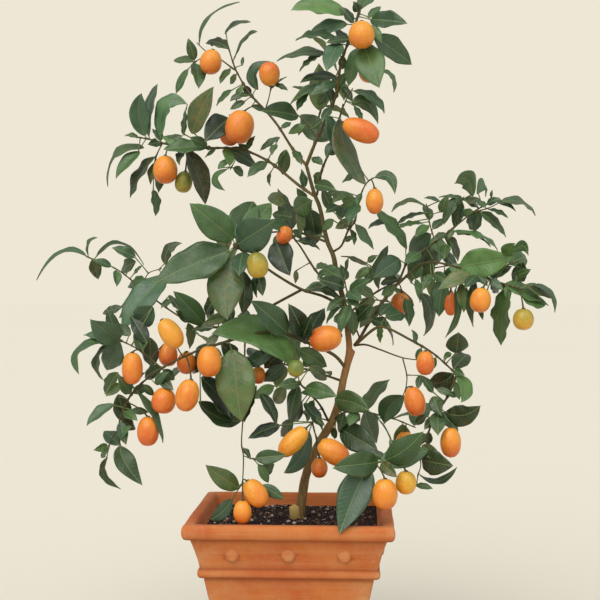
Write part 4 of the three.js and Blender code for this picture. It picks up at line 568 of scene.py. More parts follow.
def smooth_through(points, per_span=12):
    """Points of a centripetal Catmull-Rom curve through the given ones."""
    ends = [points[0] * 2 - points[1], *points, points[-1] * 2 - points[-2]]
    curve = [points[0].copy()]
    for p0, p1, p2, p3 in zip(ends, ends[1:], ends[2:], ends[3:]):
        d0, d1, d2 = (math.sqrt((b - a).length) for a, b in ((p0, p1), (p1, p2), (p2, p3)))
        m1 = ((p1 - p0) / d0 - (p2 - p0) / (d0 + d1) + (p2 - p1) / d1) * d1
        m2 = ((p2 - p1) / d1 - (p3 - p1) / (d1 + d2) + (p3 - p2) / d2) * d1
        for i in range(1, per_span + 1):
            t = i / per_span
            curve.append(
                p1 * (2 * t**3 - 3 * t**2 + 1)
                + m1 * (t**3 - 2 * t**2 + t)
                + p2 * (3 * t**2 - 2 * t**3)
                + m2 * (t**3 - t**2)
            )
    return curve


def evenly(points, step):
    """The same line with its points about one step apart."""
    reach = [0.0]
    for a, b in zip(points, points[1:]):
        reach.append(reach[-1] + (b - a).length)
    count = max(2, round(reach[-1] / step))
    spaced, span = [], 0
    for i in range(count + 1):
        at = reach[-1] * i / count
        while span < len(points) - 2 and reach[span + 1] < at:
            span += 1
        part = (at - reach[span]) / max(reach[span + 1] - reach[span], 1e-12)
        spaced.append(points[span].lerp(points[span + 1], min(max(part, 0), 1)))
    return spaced


def quadratic(a, b, c, t):
    """A point of the quadratic Bezier curve from a to c."""
    return a * (1 - t) ** 2 + b * 2 * t * (1 - t) + c * t**2


def wobble(point, scale, seed=0.0):
    """Smooth noise from -1 to 1 whose bumps are about 1 / scale apart."""
    return noise.noise(point * scale + Vector((seed, seed * 0.37, -seed)))


class Form:
    """The points and faces of a piece in the making, with named numbers for each point."""

    def __init__(self, *fields):
        self.points, self.faces = [], []
        self.values = {field: [] for field in fields}

    def point(self, spot, **values):
        """Adds a point and returns its number."""
        self.points.append(spot)
        for field, numbers in self.values.items():
            numbers.append(values.get(field, 0.0))
        return len(self.points) - 1

    def ring_walls(self, rings):
        """Quads between closed rings of point numbers."""
        for low, high in zip(rings, rings[1:]):
            count = len(low)
            for i in range(count):
                j = (i + 1) % count
                self.faces.append((low[i], low[j], high[j], high[i]))

    def cap(self, ring, middle):
        """Triangles from a ring of point numbers to one point number."""
        for i, number in enumerate(ring):
            self.faces.append((number, ring[(i + 1) % len(ring)], middle))

    def tube(self, points, radii, sides, **values):
        """A closed tube with rounded ends. A value may be one number or one for each point."""
        def at(i):
            """The values of one point of the line."""
            return {k: v[i] if isinstance(v, list) else v for k, v in values.items()}

        last = len(points) - 1
        across = Vector((1, 0, 0))
        rings = []
        for i, centre in enumerate(points):
            along = (points[min(i + 1, last)] - points[max(i - 1, 0)]).normalized()
            across = (across - along * across.dot(along)).normalized()
            over = along.cross(across)
            ring = []
            for side in range(sides):
                angle = math.tau * side / sides
                out = across * math.cos(angle) + over * math.sin(angle)
                ring.append(self.point(centre + out * radii[i], **at(i)))
            rings.append(ring)
        self.ring_walls(rings)
        for end, inward in ((0, 1), (last, last - 1)):
            out = (points[end] - points[inward]).normalized()
            tip = self.point(points[end] + out * radii[end] * 0.6, **at(end))
            self.cap(rings[end], tip)

    def piece(self, name, material, slot, *nodes):
        """The finished piece, which stands for the given CAD nodes."""
        mesh = bpy.data.meshes.new(name)
        mesh.from_pydata(self.points, [], self.faces)
        for field, numbers in self.values.items():
            mesh.attributes.new(field, "FLOAT", "POINT").data.foreach_set("value", numbers)
        made = bmesh.new()
        made.from_mesh(mesh)
        bmesh.ops.recalc_face_normals(made, faces=made.faces)
        made.to_mesh(mesh)
        made.free()
        mesh.shade_smooth()
        mesh.materials.append(material)
        piece = bpy.data.objects.new(name, mesh)
        bpy.context.scene.collection.objects.link(piece)
        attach(piece, "root")
        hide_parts(*nodes)
        return piece


# ---- shader nodes ----


class Shader:
    """A material in the making: short calls add its nodes and return their outputs."""

    def __init__(self, name):
        self.material = bpy.data.materials.new(name)
        self.material.use_nodes = True
        self.tree = self.material.node_tree
        self.surface = self.tree.nodes["Principled BSDF"]

    def add(self, kind, inputs=None, output=0, **settings):
        """A new node's output, with its inputs and settings filled in."""
        made = self.tree.nodes.new("ShaderNode" + kind)
        for key, value in settings.items():
            setattr(made, key, value)
        for key, value in (inputs or {}).items():
            self.feed(made.inputs[key], value)
        return made.outputs[output]

    def feed(self, socket, value):
        """Links an output to a socket, or sets the socket to a number or colour."""
        if isinstance(value, bpy.types.NodeSocket):
            self.tree.links.new(value, socket)
        elif socket.type == "RGBA":
            socket.default_value = (*value, 1)
        else:
            socket.default_value = value

    def set(self, **values):
        """Fixed values and links of the surface's own sockets."""
        for key, value in values.items():
            self.feed(self.surface.inputs[key.replace("_", " ")], value)

    def value(self, field):
        """The number that the form gave each point."""
        return self.add("Attribute", output="Fac", attribute_name=field)

    def spot(self, scale=(1, 1, 1)):
        """The place on the object, stretched along each axis."""
        at = self.add("TexCoord", output="Object")
        return self.add("Mapping", {"Vector": at, "Scale": scale})

    def noise(self, scale, detail=3, rough=0.55, at=None):
        """Cloudy noise from 0 to 1."""
        inputs = {"Vector": at or self.spot(), "Scale": scale, "Detail": detail, "Roughness": rough}
        return self.add("TexNoise", inputs)

    def cells(self, scale, at=None):
        """Distance from the middle of the nearest of many small cells."""
        return self.add("TexVoronoi", {"Vector": at or self.spot(), "Scale": scale}, "Distance")

    def math(self, operation, a, b=0.0):
        """A sum, product or other result of one or two numbers."""
        return self.add("Math", {0: a, 1: b}, operation=operation)

    def span(self, number, low, high, to_low=0.0, to_high=1.0):
        """The number's place between low and high, eased, as a share from to_low to to_high."""
        inputs = {0: number, 1: low, 2: high, 3: to_low, 4: to_high}
        return self.add("MapRange", inputs, interpolation_type="SMOOTHSTEP")

    def mix(self, factor, a, b):
        """A colour between a and b."""
        return self.add("Mix", {0: factor, 6: a, 7: b}, 2, data_type="RGBA")

    def steps(self, factor, *colours):
        """Colours at even steps of the factor."""
        made = self.tree.nodes.new("ShaderNodeValToRGB")
        self.feed(made.inputs[0], factor)
        stops = made.color_ramp.elements
        while len(stops) < len(colours):
            stops.new(0.5)
        for i, (stop, shade) in enumerate(zip(stops, colours)):
            stop.position = i / (len(colours) - 1)
            stop.color = (*shade, 1)
        return made.outputs[0]

    def bump(self, height, distance, strength, normal=None):
        """The normal of a surface with that height, on top of another normal."""
        inputs = {"Height": height, "Distance": distance, "Strength": strength}
        if normal:
            inputs["Normal"] = normal
        return self.add("Bump", inputs)


def clay_material(look):
    """Matt terracotta: redder patches, wiped lines, pale bloom, fine grain; painted shade inside and in
    creases.
    """
    s = Shader("fired_terracotta")
    patches = s.span(s.noise(14, 4), 0.38, 0.66)
    base = s.mix(patches, look.clay, look.clay_red)
    wiped = s.noise(9, 5, 0.7, s.spot((0.6, 0.6, 22)))
    base = s.mix(s.span(wiped, 0.42, 0.75, 0, 0.35), base, look.clay_pale)
    fleck = s.span(s.noise(420, 2), 0.62, 0.72, 0, 0.35)
    base = s.mix(fleck, base, look.clay_pale)
    pits = s.span(s.cells(260), 0.0, 0.14, 0.55, 0)
    base = s.mix(pits, base, look.clay_red)
    bloom = s.math("MULTIPLY", s.value("bloom"), s.span(s.noise(38, 6, 0.7), 0.35, 0.7))
    base = s.mix(bloom, base, look.clay_pale)
    # Painted shade: the inside of the planter is darkened towards the red clay.
    shade = s.value("inside")
    base = s.mix(s.math("MULTIPLY", shade, 0.35), base, look.clay_red)
    # Painted shade: the creases at the band's edges and under the rim are darkened.
    crease_shade_colour = tuple(c * 0.55 for c in look.clay_red)
    base = s.mix(s.math("MULTIPLY", s.value("crease"), 0.7), base, crease_shade_colour)
    s.set(Base_Color=base, Roughness=s.span(wiped, 0.3, 0.8, 0.72, 0.9), Specular_IOR_Level=0.3)
    grain = s.bump(s.noise(900, 4, 0.7), 0.0004, 0.5)
    lines = s.bump(wiped, 0.0012, 0.6, grain)
    s.set(Normal=s.bump(s.noise(60, 3), 0.0015, 0.4, lines))
    return s.material


def soil_material(look):
    """Dark crumbly soil."""
    s = Shader("potting_soil")
    crumbs = s.noise(260, 6, 0.75)
    base = s.mix(s.span(crumbs, 0.35, 0.7), tuple(c * 0.4 for c in look.soil), look.soil)
    base = s.mix(s.span(s.noise(700, 2), 0.6, 0.75, 0, 0.6), base, (0.10, 0.06, 0.04))
    s.set(Base_Color=base, Roughness=0.95, Specular_IOR_Level=0.2)
    s.set(Normal=s.bump(crumbs, 0.004, 0.9))
    return s.material


def grit_material(look):
    """Chips of bark and pale stone in the soil."""
    s = Shader("soil_grit")
    pale = s.value("pale")
    base = s.steps(pale, look.soil, (0.10, 0.055, 0.035), (0.20, 0.12, 0.075), look.grit)
    base = s.mix(s.span(s.noise(500, 4), 0.3, 0.7, 0, 0.5), base, look.soil)
    s.set(Base_Color=base, Roughness=0.9, Specular_IOR_Level=0.25)
    s.set(Normal=s.bump(s.noise(900, 4), 0.0006, 0.8))
    return s.material


def bark_material(look):
    """Thin bark, green on young twigs and ruddy at the forks, with pale pores."""
    s = Shader("citrus_bark")
    fibres = s.noise(90, 5, 0.65, s.spot((6, 6, 0.9)))
    base = s.mix(s.span(fibres, 0.35, 0.7), tuple(c * 0.5 for c in look.bark), look.bark)
    base = s.mix(s.value("ruddy"), base, look.bark_red)
    young = s.mix(fibres, tuple(c * 0.6 for c in look.bark_green), look.bark_green)
    base = s.mix(s.value("young"), base, young)
    base = s.mix(s.value("cut"), base, look.graft)
    pores = s.span(s.cells(340, s.spot((1, 1, 0.45))), 0.05, 0.2, 0.55, 0)
    base = s.mix(pores, base, tuple(c * 1.5 for c in look.bark))
    s.set(Base_Color=base, Roughness=s.span(fibres, 0.2, 0.8, 0.5, 0.75), Specular_IOR_Level=0.35)
    rough = s.bump(s.noise(420, 4), 0.0004, 0.6)
    s.set(Normal=s.bump(fibres, 0.0009, 0.7, rough))
    return s.material


def leaf_material(look):
    """Leathery leaf: glossy green above with fine veins, paler and matt below; painted shade and sky
    sheen.
    """
    s = Shader("kumquat_leaf")
    tint, cool, aged = s.value("tint"), s.value("cool"), s.value("aged")
    patches = s.noise(70, 4)
    uneven = s.math("MULTIPLY", s.math("SUBTRACT", s.noise(45, 5, 0.65), 0.5), 0.5)
    upper = s.steps(s.math("ADD", tint, uneven), look.leaf_dark, look.leaf_mid, look.leaf_bright)
    # Painted sky reflection: a bluish sheen in patches, as strong as each leaf's share.
    sky = s.math("MULTIPLY", cool, s.span(patches, 0.3, 0.7, 0.45, 1))
    upper = s.mix(sky, upper, look.leaf_sky_sheen)
    # Painted shade: patches of each leaf are darkened towards the shaded leaf colour.
    upper = s.mix(s.span(patches, 0.45, 0.7, 0, 0.35), upper, look.leaf_dark)
    veins = s.math("SINE", s.math("MULTIPLY", s.value("vein"), math.tau))
    vein_lines = s.math("POWER", s.math("MAXIMUM", veins, 0.0), 14.0)
    upper = s.mix(s.math("MULTIPLY", vein_lines, 0.22), upper, look.rib)
    rib_line = s.span(s.value("from_rib"), 0.25, 0.75, 1, 0)
    upper = s.mix(s.math("MULTIPLY", rib_line, 0.7), upper, look.rib)
    worn = s.math("MULTIPLY", aged, s.span(s.noise(110, 5, 0.7), 0.38, 0.62))
    upper = s.mix(worn, upper, look.leaf_old)
    under = s.mix(s.math("MULTIPLY", vein_lines, 0.35), look.leaf_under, look.rib)
    under = s.mix(s.math("MULTIPLY", aged, 0.5), under, look.leaf_old)
    above = s.value("upper")
    gloss = s.span(s.noise(160, 3), 0.3, 0.7, 0.30, 0.46)
    roughness = s.add("Mix", {0: above, 2: 0.62, 3: gloss}, data_type="FLOAT")
    s.set(Base_Color=s.mix(above, under, upper), Roughness=roughness, Specular_IOR_Level=0.55)
    s.set(Subsurface_Weight=0.06, Subsurface_Radius=(0.4, 1.0, 0.15), Subsurface_Scale=0.0006)
    crinkle = s.bump(s.noise(260, 4, 0.6), 0.0007, 0.5)
    pores = s.bump(s.noise(1500, 2), 0.00012, 0.5, crinkle)
    ridges = s.bump(vein_lines, 0.0002, 0.6, pores)
    s.set(Normal=s.bump(rib_line, 0.0004, 0.7, ridges))
    return s.material


def rind_material(look):
    """Waxy citrus rind: green to red-orange by ripeness, with fine oil pits."""
    s = Shader("kumquat_rind")
    ripe = s.value("ripe")
    uneven = s.math("MULTIPLY", s.math("SUBTRACT", s.noise(70, 5, 0.6), 0.5), 0.45)
    by_height = s.math("MULTIPLY", s.math("SUBTRACT", s.value("height"), 0.45), -0.24)
    tone = s.math("ADD", ripe, s.math("ADD", uneven, by_height))
    base = s.steps(
        tone, look.fruit_green, look.fruit_olive, look.fruit_gold, look.fruit_orange, look.fruit_red
    )
    pit = s.cells(900)
    base = s.mix(s.span(pit, 0.0, 0.35, 0.5, 0), base, look.fruit_red)
    scar = s.span(s.noise(240, 3), 0.68, 0.76, 0, 0.5)
    base = s.mix(scar, base, look.fruit_olive)
    base = s.mix(s.value("stalk"), base, look.bark_green)
    s.set(Base_Color=base, Roughness=s.span(s.noise(90, 3), 0.3, 0.7, 0.30, 0.44))
    s.set(Specular_IOR_Level=0.5, Coat_Weight=0.15, Coat_Roughness=0.25)
    s.set(Subsurface_Weight=0.18, Subsurface_Radius=(1.0, 0.35, 0.08), Subsurface_Scale=0.003)
    lumps = s.bump(s.noise(120, 3), 0.0012, 0.5)
    s.set(Normal=s.bump(s.span(pit, 0.0, 0.45), 0.0005, 0.8, lumps))
    return s.material


def backdrop_material(look):
    """Matt pale paint with a very faint mottle."""
    s = Shader("pale_backdrop")
    soft = s.span(s.noise(0.7, 2), 0.3, 0.7, 0, 0.12)
    darker = tuple(c * 0.94 for c in look.backdrop)
    s.set(Base_Color=s.mix(soft, look.backdrop, darker), Roughness=0.95, Specular_IOR_Level=0.1)
    return s.material


# ---- the plan of the tree ----


class Twig:
    """A twig's smooth centre line, on the elevation and in space, with its radii."""

    STEP = 3.5  # mm between its points

    def __init__(self, entry, index):
        first, last, *route = entry
        drawn = [Vector((x, depth, z)) for x, z, depth in route]
        self.spots = evenly(smooth_through(drawn), self.STEP)
        self.points = [place(s.x, s.z, s.y) for s in self.spots]
        count = len(self.points) - 1
        self.radii = [(first + (last - first) * i / count) / 2 * MM for i in range(count + 1)]
        self.index = index

    def nearest(self, measure):
        """The nearest inner point by a measure of distance, as (distance, spot, point)."""
        inner = range(2, max(3, len(self.points) - 1))
        best = min(inner, key=lambda i: measure(self.spots[i], self.points[i]))
        return measure(self.spots[best], self.points[best]), self.spots[best], self.points[best]


class Shoot:
    """A named shoot with its twigs, its leaves and the fruits that hang from it."""

    def __init__(self, name, twigs):
        self.name = name
        self.twigs = [Twig(entry, i) for i, entry in enumerate(twigs)]
        self.leaves, self.stalks, self.shaded = [], [], []

    def nearest(self, measure):
        """The same over all the twigs."""
        return min((twig.nearest(measure) for twig in self.twigs), key=lambda found: found[0])


def drawn_leaf(shoot, entry, index):
    """The leaf whose base, tip and width as shown are given on the elevation.

    Its middle is the control point of the midrib's quadratic curve.
    """
    x0, z0, x1, z1, shown, reach, *via = [*entry, 0] if len(entry) == 5 else entry
    gap, spot, root = shoot.nearest(lambda s, p: math.hypot(s.x - x0, s.z - z0))
    flat = math.hypot(x1 - x0, z1 - z0)
    hidden = math.sqrt(max(0, (shown / LEAF_SLENDER) ** 2 - flat**2))
    towards = -1 if index % 2 else 1
    nearer = reach or towards * min(hidden + flat * SWING, SWING_MOST)
    base = root if gap < STEM_REACH else place(x0, z0, spot.y - nearer * STEM_LEAD)
    tip = place(x1, z1, spot.y - nearer)
    long = (tip - base).length / MM
    width = min(max(long * LEAF_SLENDER, shown), shown * WIDTH_GAIN + WIDTH_SPARE)
    along = (tip - base).normalized()
    facing = (FORWARD - along * FORWARD.dot(along)).normalized()
    edge = along.cross(facing)
    if edge.z < 0:
        edge.negate()
    turn = math.acos(min(max(shown / width, EDGE_LEAST), 1))
    normal = facing * math.cos(turn) + edge * math.sin(turn)
    middle = base.lerp(tip, 0.5)
    if via:
        middle = middle.lerp(place(via[0], via[1], spot.y - nearer / 2), 2)
    else:
        middle += normal * long * MM * LEAF_ARCH * 2
    return {
        "root": root, "base": base, "middle": middle, "tip": tip, "normal": normal, "width": width,
    }


def spiral_leaves(shoot, count, size):
    """Leaves that stand round a shoot in a spiral and droop a little."""
    points = shoot.twigs[0].points
    for i in range(count):
        at = (SPIRAL_FIRST + SPIRAL_SPAN * i / (count - 1)) * (len(points) - 1)
        low = min(int(at), len(points) - 2)
        base = points[low].lerp(points[low + 1], at - low)
        along = (points[low + 1] - points[low]).normalized()
        side = along.cross(UP).normalized()
        side = Matrix.Rotation(i * GOLDEN_ANGLE, 3, along) @ side
        direction = side * SPIRAL_OUT + along * SPIRAL_ALONG - UP * SPIRAL_DROOP
        direction.normalize()
        long = size * (0.8 + 0.12 * ((i * 2) % 5))
        tip = base + direction * long * MM
        normal = (UP - direction * UP.dot(direction)).normalized()
        middle = base.lerp(tip, 0.5) + normal * long * MM * LEAF_ARCH * 2
        yield {
            "root": base, "base": base, "middle": middle, "tip": tip,
            "normal": normal, "width": long * LEAF_SLENDER,
        }


class Fruit:
    """A kumquat's place, axis and size in metres."""

    def __init__(self, name, entry):
        x, z, depth, width, tall, lean, self.ripeness = entry
        size = (1 + depth / EYE_DISTANCE) * MM
        self.name = name
        self.centre = place(x, z, depth)
        self.axis = Vector((math.sin(math.radians(lean)), 0, math.cos(math.radians(lean))))
        self.width, self.tall = width * size, tall * size
        self.crown = self.centre + self.axis * self.tall / 2


def plan_tree():
    """Every shoot with its leaves and the stalks of its fruits, and the separate fruits."""
    shoots = []
    for name, twigs, leaves in SPRAYS:
        shoot = Shoot(name, twigs)
        shoot.leaves = [drawn_leaf(shoot, entry, i) for i, entry in enumerate(leaves)]
        for i, tone in LEAF_TONES.get(name, {}).items():
            shoot.leaves[i].update(TONES[tone])
        shoots.append(shoot)
    for name, count, size, *twig in BACK_SHOOTS:
        shoot = Shoot(name, [twig])
        shoot.leaves = list(spiral_leaves(shoot, count, size))
        shoots.append(shoot)
    fruits = [Fruit(f"kumquat_{i + 1:02d}", entry) for i, entry in enumerate(FRUITS)]
    shaded = [Fruit(f"shaded_kumquat_{i + 1}", entry) for i, entry in enumerate(SHADED_FRUITS)]
    for fruit in [*fruits, *shaded]:
        found = [(*s.nearest(lambda _, p: (p - fruit.crown).length), s) for s in shoots]
        gap, _, point, shoot = min(found, key=lambda f: f[0])
        bend = point.lerp(fruit.crown, STALK_BEND) + fruit.axis * gap * STALK_ARCH
        end = fruit.crown - fruit.axis * fruit.tall * STALK_SUNK
        shoot.stalks.append([point, bend, end])
        if fruit in shaded:
            shoot.shaded.append(fruit)
    return shoots, fruits


# ---- planter and soil ----


def arc(half, proud, low, high, steps):
    """The half-round outline of a raised band between two heights, as (half side, z)."""
    turns = (math.pi * (i / steps - 0.5) for i in range(steps + 1))
    middle, tall = (low + high) / 2, (high - low) / 2
    return [(half + proud * math.cos(a), middle + tall * math.sin(a)) for a in turns]


def inner_profile(look):
    """The inside of the wall from the floor up to the soil, as (half side, z)."""
    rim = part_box("terracotta_planter")[1].x
    return [
        (look.foot_side / 2 - look.wall, look.floor_thick),
        (look.body_side / 2 - look.wall, look.band_z),
        (rim - look.rim_proud - look.wall, look.soil_z),
    ]


def flare_half(look, z):
    """Half the planter's side at a height of the hollow curve from the band up to the rim."""
    low = look.band_z + look.band_tall / 2
    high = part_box("terracotta_planter")[1].z - look.rim_tall
    t = (z - low) / (high - low)
    neck, flare = look.neck_side / 2, look.flare_side / 2
    return neck + (flare - neck) * t * (FLARE_LEAN + (1 - FLARE_LEAN) * t)


def planter_profile(look):
    """The outside from the foot to the rim, then the inside down to the floor, as (half side, z).

    The second result is how many of the points are outside.
    """
    rim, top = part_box("terracotta_planter")[1].x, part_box("terracotta_planter")[1].z
    band_low, band_high = look.band_z - look.band_tall / 2, look.band_z + look.band_tall / 2
    flare_top = top - look.rim_tall
    foot = look.foot_side / 2
    lower = [(foot + (look.body_side / 2 - foot) * i / 24, band_low * i / 24) for i in range(25)]
    lower[0] = (foot - 1.5 * MM, 0.0)
    lower.insert(1, (foot - 0.3 * MM, 0.9 * MM))
    band = arc(look.neck_side / 2, look.band_proud, band_low, band_high, 10)
    heights = (band_high + (flare_top - band_high) * i / 12 for i in range(1, 13))
    flare = [(flare_half(look, z), z) for z in heights]
    roll = arc(rim - look.rim_proud, look.rim_proud, flare_top, top, 14)
    lip = [(rim - 6 * MM, top), (rim - look.wall + 1.5 * MM, top - 0.2 * MM)]
    inner_top = rim - look.wall
    inside = [(inner_top, top - 1.5 * MM)]
    low_half, low_z = inner_profile(look)[2]
    inside += [(inner_top + (low_half - inner_top) * i / 4, top + (low_z - top) * i / 4)
               for i in range(1, 5)]
    inside += list(reversed(inner_profile(look)[:2]))
    outside = [*lower, *band, *flare, *roll]
    return [*outside, *lip, *inside], len(outside)


def square_ring(half, corner, per_side=26, per_corner=5):
    """Points round a square with rounded corners, as (x, y) from the front left corner."""
    corner = min(corner, half * 0.4)
    flat = half - corner
    ring = []
    for side in range(4):
        turn = side * math.pi / 2
        out = []
        for i in range(per_side + 1):
            out.append((-flat + 2 * flat * i / per_side, -half))
        for i in range(1, per_corner):
            angle = -math.pi / 2 + math.pi / 2 * i / per_corner
            out.append((flat + corner * math.cos(angle), -flat + corner * math.sin(angle)))
        for x, y in out:
            across, over = math.cos(turn), math.sin(turn)
            ring.append((x * across - y * over, x * over + y * across))
    return ring


def add_boss(form, look, half, turn, shift):
    """A domed round boss with a soft skirt, set into the planter's side."""
    radius, proud = look.boss_radius, look.boss_proud
    outline = [(radius, -4 * MM), (radius * 1.22, -0.4 * MM), (radius * 1.08, 0.5 * MM)]
    outline += [(radius * math.cos(a), MM + (proud - MM) * math.sin(a))
                for a in (math.pi / 2 * i / 7 for i in range(7))]
    spin = Matrix.Rotation(turn, 3, "Z")
    rings = []
    for reach, out in outline:
        ring = []
        for i in range(BOSS_SIDES):
            angle = math.tau * i / BOSS_SIDES
            reached = reach * (1 + 0.03 * math.sin(angle * 3 + shift * 90))
            x, z = shift + reached * math.cos(angle), look.boss_z + reached * math.sin(angle)
            spot = Vector((x, -half - out, z))
            ring.append(form.point(spin @ spot, bloom=BOSS_BLOOM))
        rings.append(ring)
    form.ring_walls(rings)
    top = form.point(spin @ Vector((shift, -half - proud, look.boss_z)), bloom=BOSS_BLOOM)
    form.cap(rings[-1], top)
    back = form.point(spin @ Vector((shift, -half + 4 * MM, look.boss_z)))
    form.cap(rings[0], back)


def wall_ring(form, look, half, z, **values):
    """One level of the planter's wall, uneven as pressed clay is and paler at the corners."""
    ease = min(1, z / (8 * MM))
    ring = []
    for x, y in square_ring(half, look.corner):
        spot = Vector((x, y, z))
        out = Vector((x, y, 0)).normalized()
        drift = wobble(spot, 22) * 0.7 * MM + wobble(spot, 75, 5) * 0.25 * MM - 0.6 * MM
        lift = wobble(Vector((x, y, 0)), 30, 9) * 0.45 * MM * ease
        near_corner = min(abs(x), abs(y)) / max(abs(x), abs(y))
        bloom = 0.25 + 0.75 * near_corner**6 + 0.4 * max(0, 1 - z / (60 * MM))
        spot += out * drift * ease + UP * min(lift, 0)
        ring.append(form.point(spot, bloom=min(bloom, 1), **values))
    return ring


def make_planter():
    """The planter with its bosses, hollow and with bored drain holes."""
    look = bpy.context.scene.kumquat_planter
    profile, outer_count = planter_profile(look)
    form = Form("bloom", "inside", "crease")
    band_half = look.band_tall / 2
    rim_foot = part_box("terracotta_planter")[1].z - look.rim_tall
    # Heights where painted shade darkens the clay: the band's edges and the foot of the rim.
    corners = (look.band_z - band_half, look.band_z + band_half, rim_foot)
    rings = []
    for step, (half, z) in enumerate(profile):
        inside = float(step > outer_count)
        crease = (1 - inside) * max(math.exp(-((z - c) / (2 * MM)) ** 2) for c in corners)
        rings.append(wall_ring(form, look, half, z, inside=inside, crease=crease))
    form.ring_walls(rings)
    form.cap(rings[0], form.point(Vector((0, 0, 0))))
    form.cap(rings[-1], form.point(Vector((0, 0, look.floor_thick)), inside=1))
    half = flare_half(look, look.boss_z)
    for side in range(4):
        for step in (-1, 0, 1):
            add_boss(form, look, half, side * math.pi / 2, step * look.boss_step)
    planter = form.piece("planter", clay_material(look), "terracotta", "terracotta_planter")
    cut_drains(planter, look)


def cut_drains(planter, look):
    """Bores the four drain holes through the planter's floor."""
    made = bmesh.new()
    for sx, sy in SQUARE:
        middle = Vector((sx * look.drain_offset, sy * look.drain_offset, look.floor_thick / 2))
        bmesh.ops.create_cone(made, cap_ends=True, segments=24, radius1=look.drain_radius,
                              radius2=look.drain_radius, depth=look.floor_thick * 3,
                              matrix=Matrix.Translation(middle))
    mesh = bpy.data.meshes.new("drains")
    made.to_mesh(mesh)
    made.free()
    cutter = bpy.data.objects.new("drains", mesh)
    bpy.context.scene.collection.objects.link(cutter)
    cut = planter.modifiers.new("drains", "BOOLEAN")
    cut.operation, cut.solver, cut.object = "DIFFERENCE", "EXACT", cutter
    cut.use_self = True
    graph = bpy.context.evaluated_depsgraph_get()
    bored = bpy.data.meshes.new_from_object(planter.evaluated_get(graph))
    planter.modifiers.clear()
    planter.data = bored
    bpy.data.objects.remove(cutter)


def soil_height(look, x, y):
    """The soil's height at a place, with its mound and crumbs."""
    spot = Vector((x, y, 0))
    mound = look.soil_mound * math.exp(-(spot.length / (45 * MM)) ** 2)
    crumbs = wobble(spot, 160) * 1.1 * MM + wobble(spot, 420, 3) * 0.7 * MM
    return look.soil_z + mound + crumbs + wobble(spot, 35, 7) * 1.5 * MM - MM


def make_soil():
    """The soil, from the planter's floor up to its crumbly top."""
    look = bpy.context.scene.kumquat_planter
    form = Form()
    (foot, floor), (waist, waist_z), (edge, _) = inner_profile(look)
    floor += 0.5 * MM
    rings = []
    for half, z in ((foot, floor), (waist, waist_z)):
        corners = square_ring(half - SOIL_AIR, SOIL_CORNER, SOIL_PER_SIDE)
        rings.append([form.point(Vector((x, y, z))) for x, y in corners])
    for i in range(SOIL_RINGS):
        corners = square_ring((edge - SOIL_AIR) * (1 - i / SOIL_RINGS), SOIL_CORNER, SOIL_PER_SIDE)
        rings.append([form.point(Vector((x, y, soil_height(look, x, y)))) for x, y in corners])
    form.ring_walls(rings)
    form.cap(rings[0], form.point(Vector((0, 0, floor))))
    form.cap(rings[-1], form.point(Vector((0, 0, soil_height(look, 0, 0)))))
    form.piece("soil", soil_material(look), "soil", "potting_soil")


def make_grit():
    """Chips of bark and stone strewn over the soil."""
    look = bpy.context.scene.kumquat_planter
    edge = inner_profile(look)[2][0] - SOIL_AIR
    form = Form("pale")
    rng = random.Random(7)
    for _ in range(GRIT_CHIPS):
        x, y = (rng.uniform(-edge + 3 * MM, edge - 3 * MM) for _ in range(2))
        size = (0.7 + 2.6 * rng.random() ** 2.6) * MM
        at = Vector((x, y, soil_height(look, x, y) + size * 0.25))
        spin = Matrix.Rotation(rng.uniform(0, math.tau), 3, "Z")
        spin @= Matrix.Rotation(rng.uniform(-0.6, 0.6), 3, "X")
        flat = Vector((1, rng.uniform(0.5, 1), rng.uniform(0.35, 0.8)))
        pale = rng.random() ** 1.25
        corners = bmesh.new()
        bmesh.ops.create_icosphere(corners, subdivisions=1, radius=1)
        first = len(form.points)
        for corner in corners.verts:
            rough = corner.co * rng.uniform(0.75, 1.15)
            form.point(at + spin @ (rough * flat) * size, pale=pale)
        form.faces += [tuple(first + v.index for v in face.verts) for face in corners.faces]
        corners.free()
    form.piece("soil_grit", grit_material(look), "soil", "potting_soil")


# ---- wood, leaves and fruits ----


def grown(points, radii, seed, knots=()):
    """Radii with the slight swellings and knots of a grown stem."""
    out = []
    for i, (point, radius) in enumerate(zip(points, radii)):
        swell = 1 + 0.08 * wobble(point, 90, seed) + 0.04 * wobble(point, 300, seed)
        for knot in knots:
            swell += 0.32 * math.exp(-(((point - knot).length) / (2.2 * MM)) ** 2)
        out.append(radius * swell)
    return out


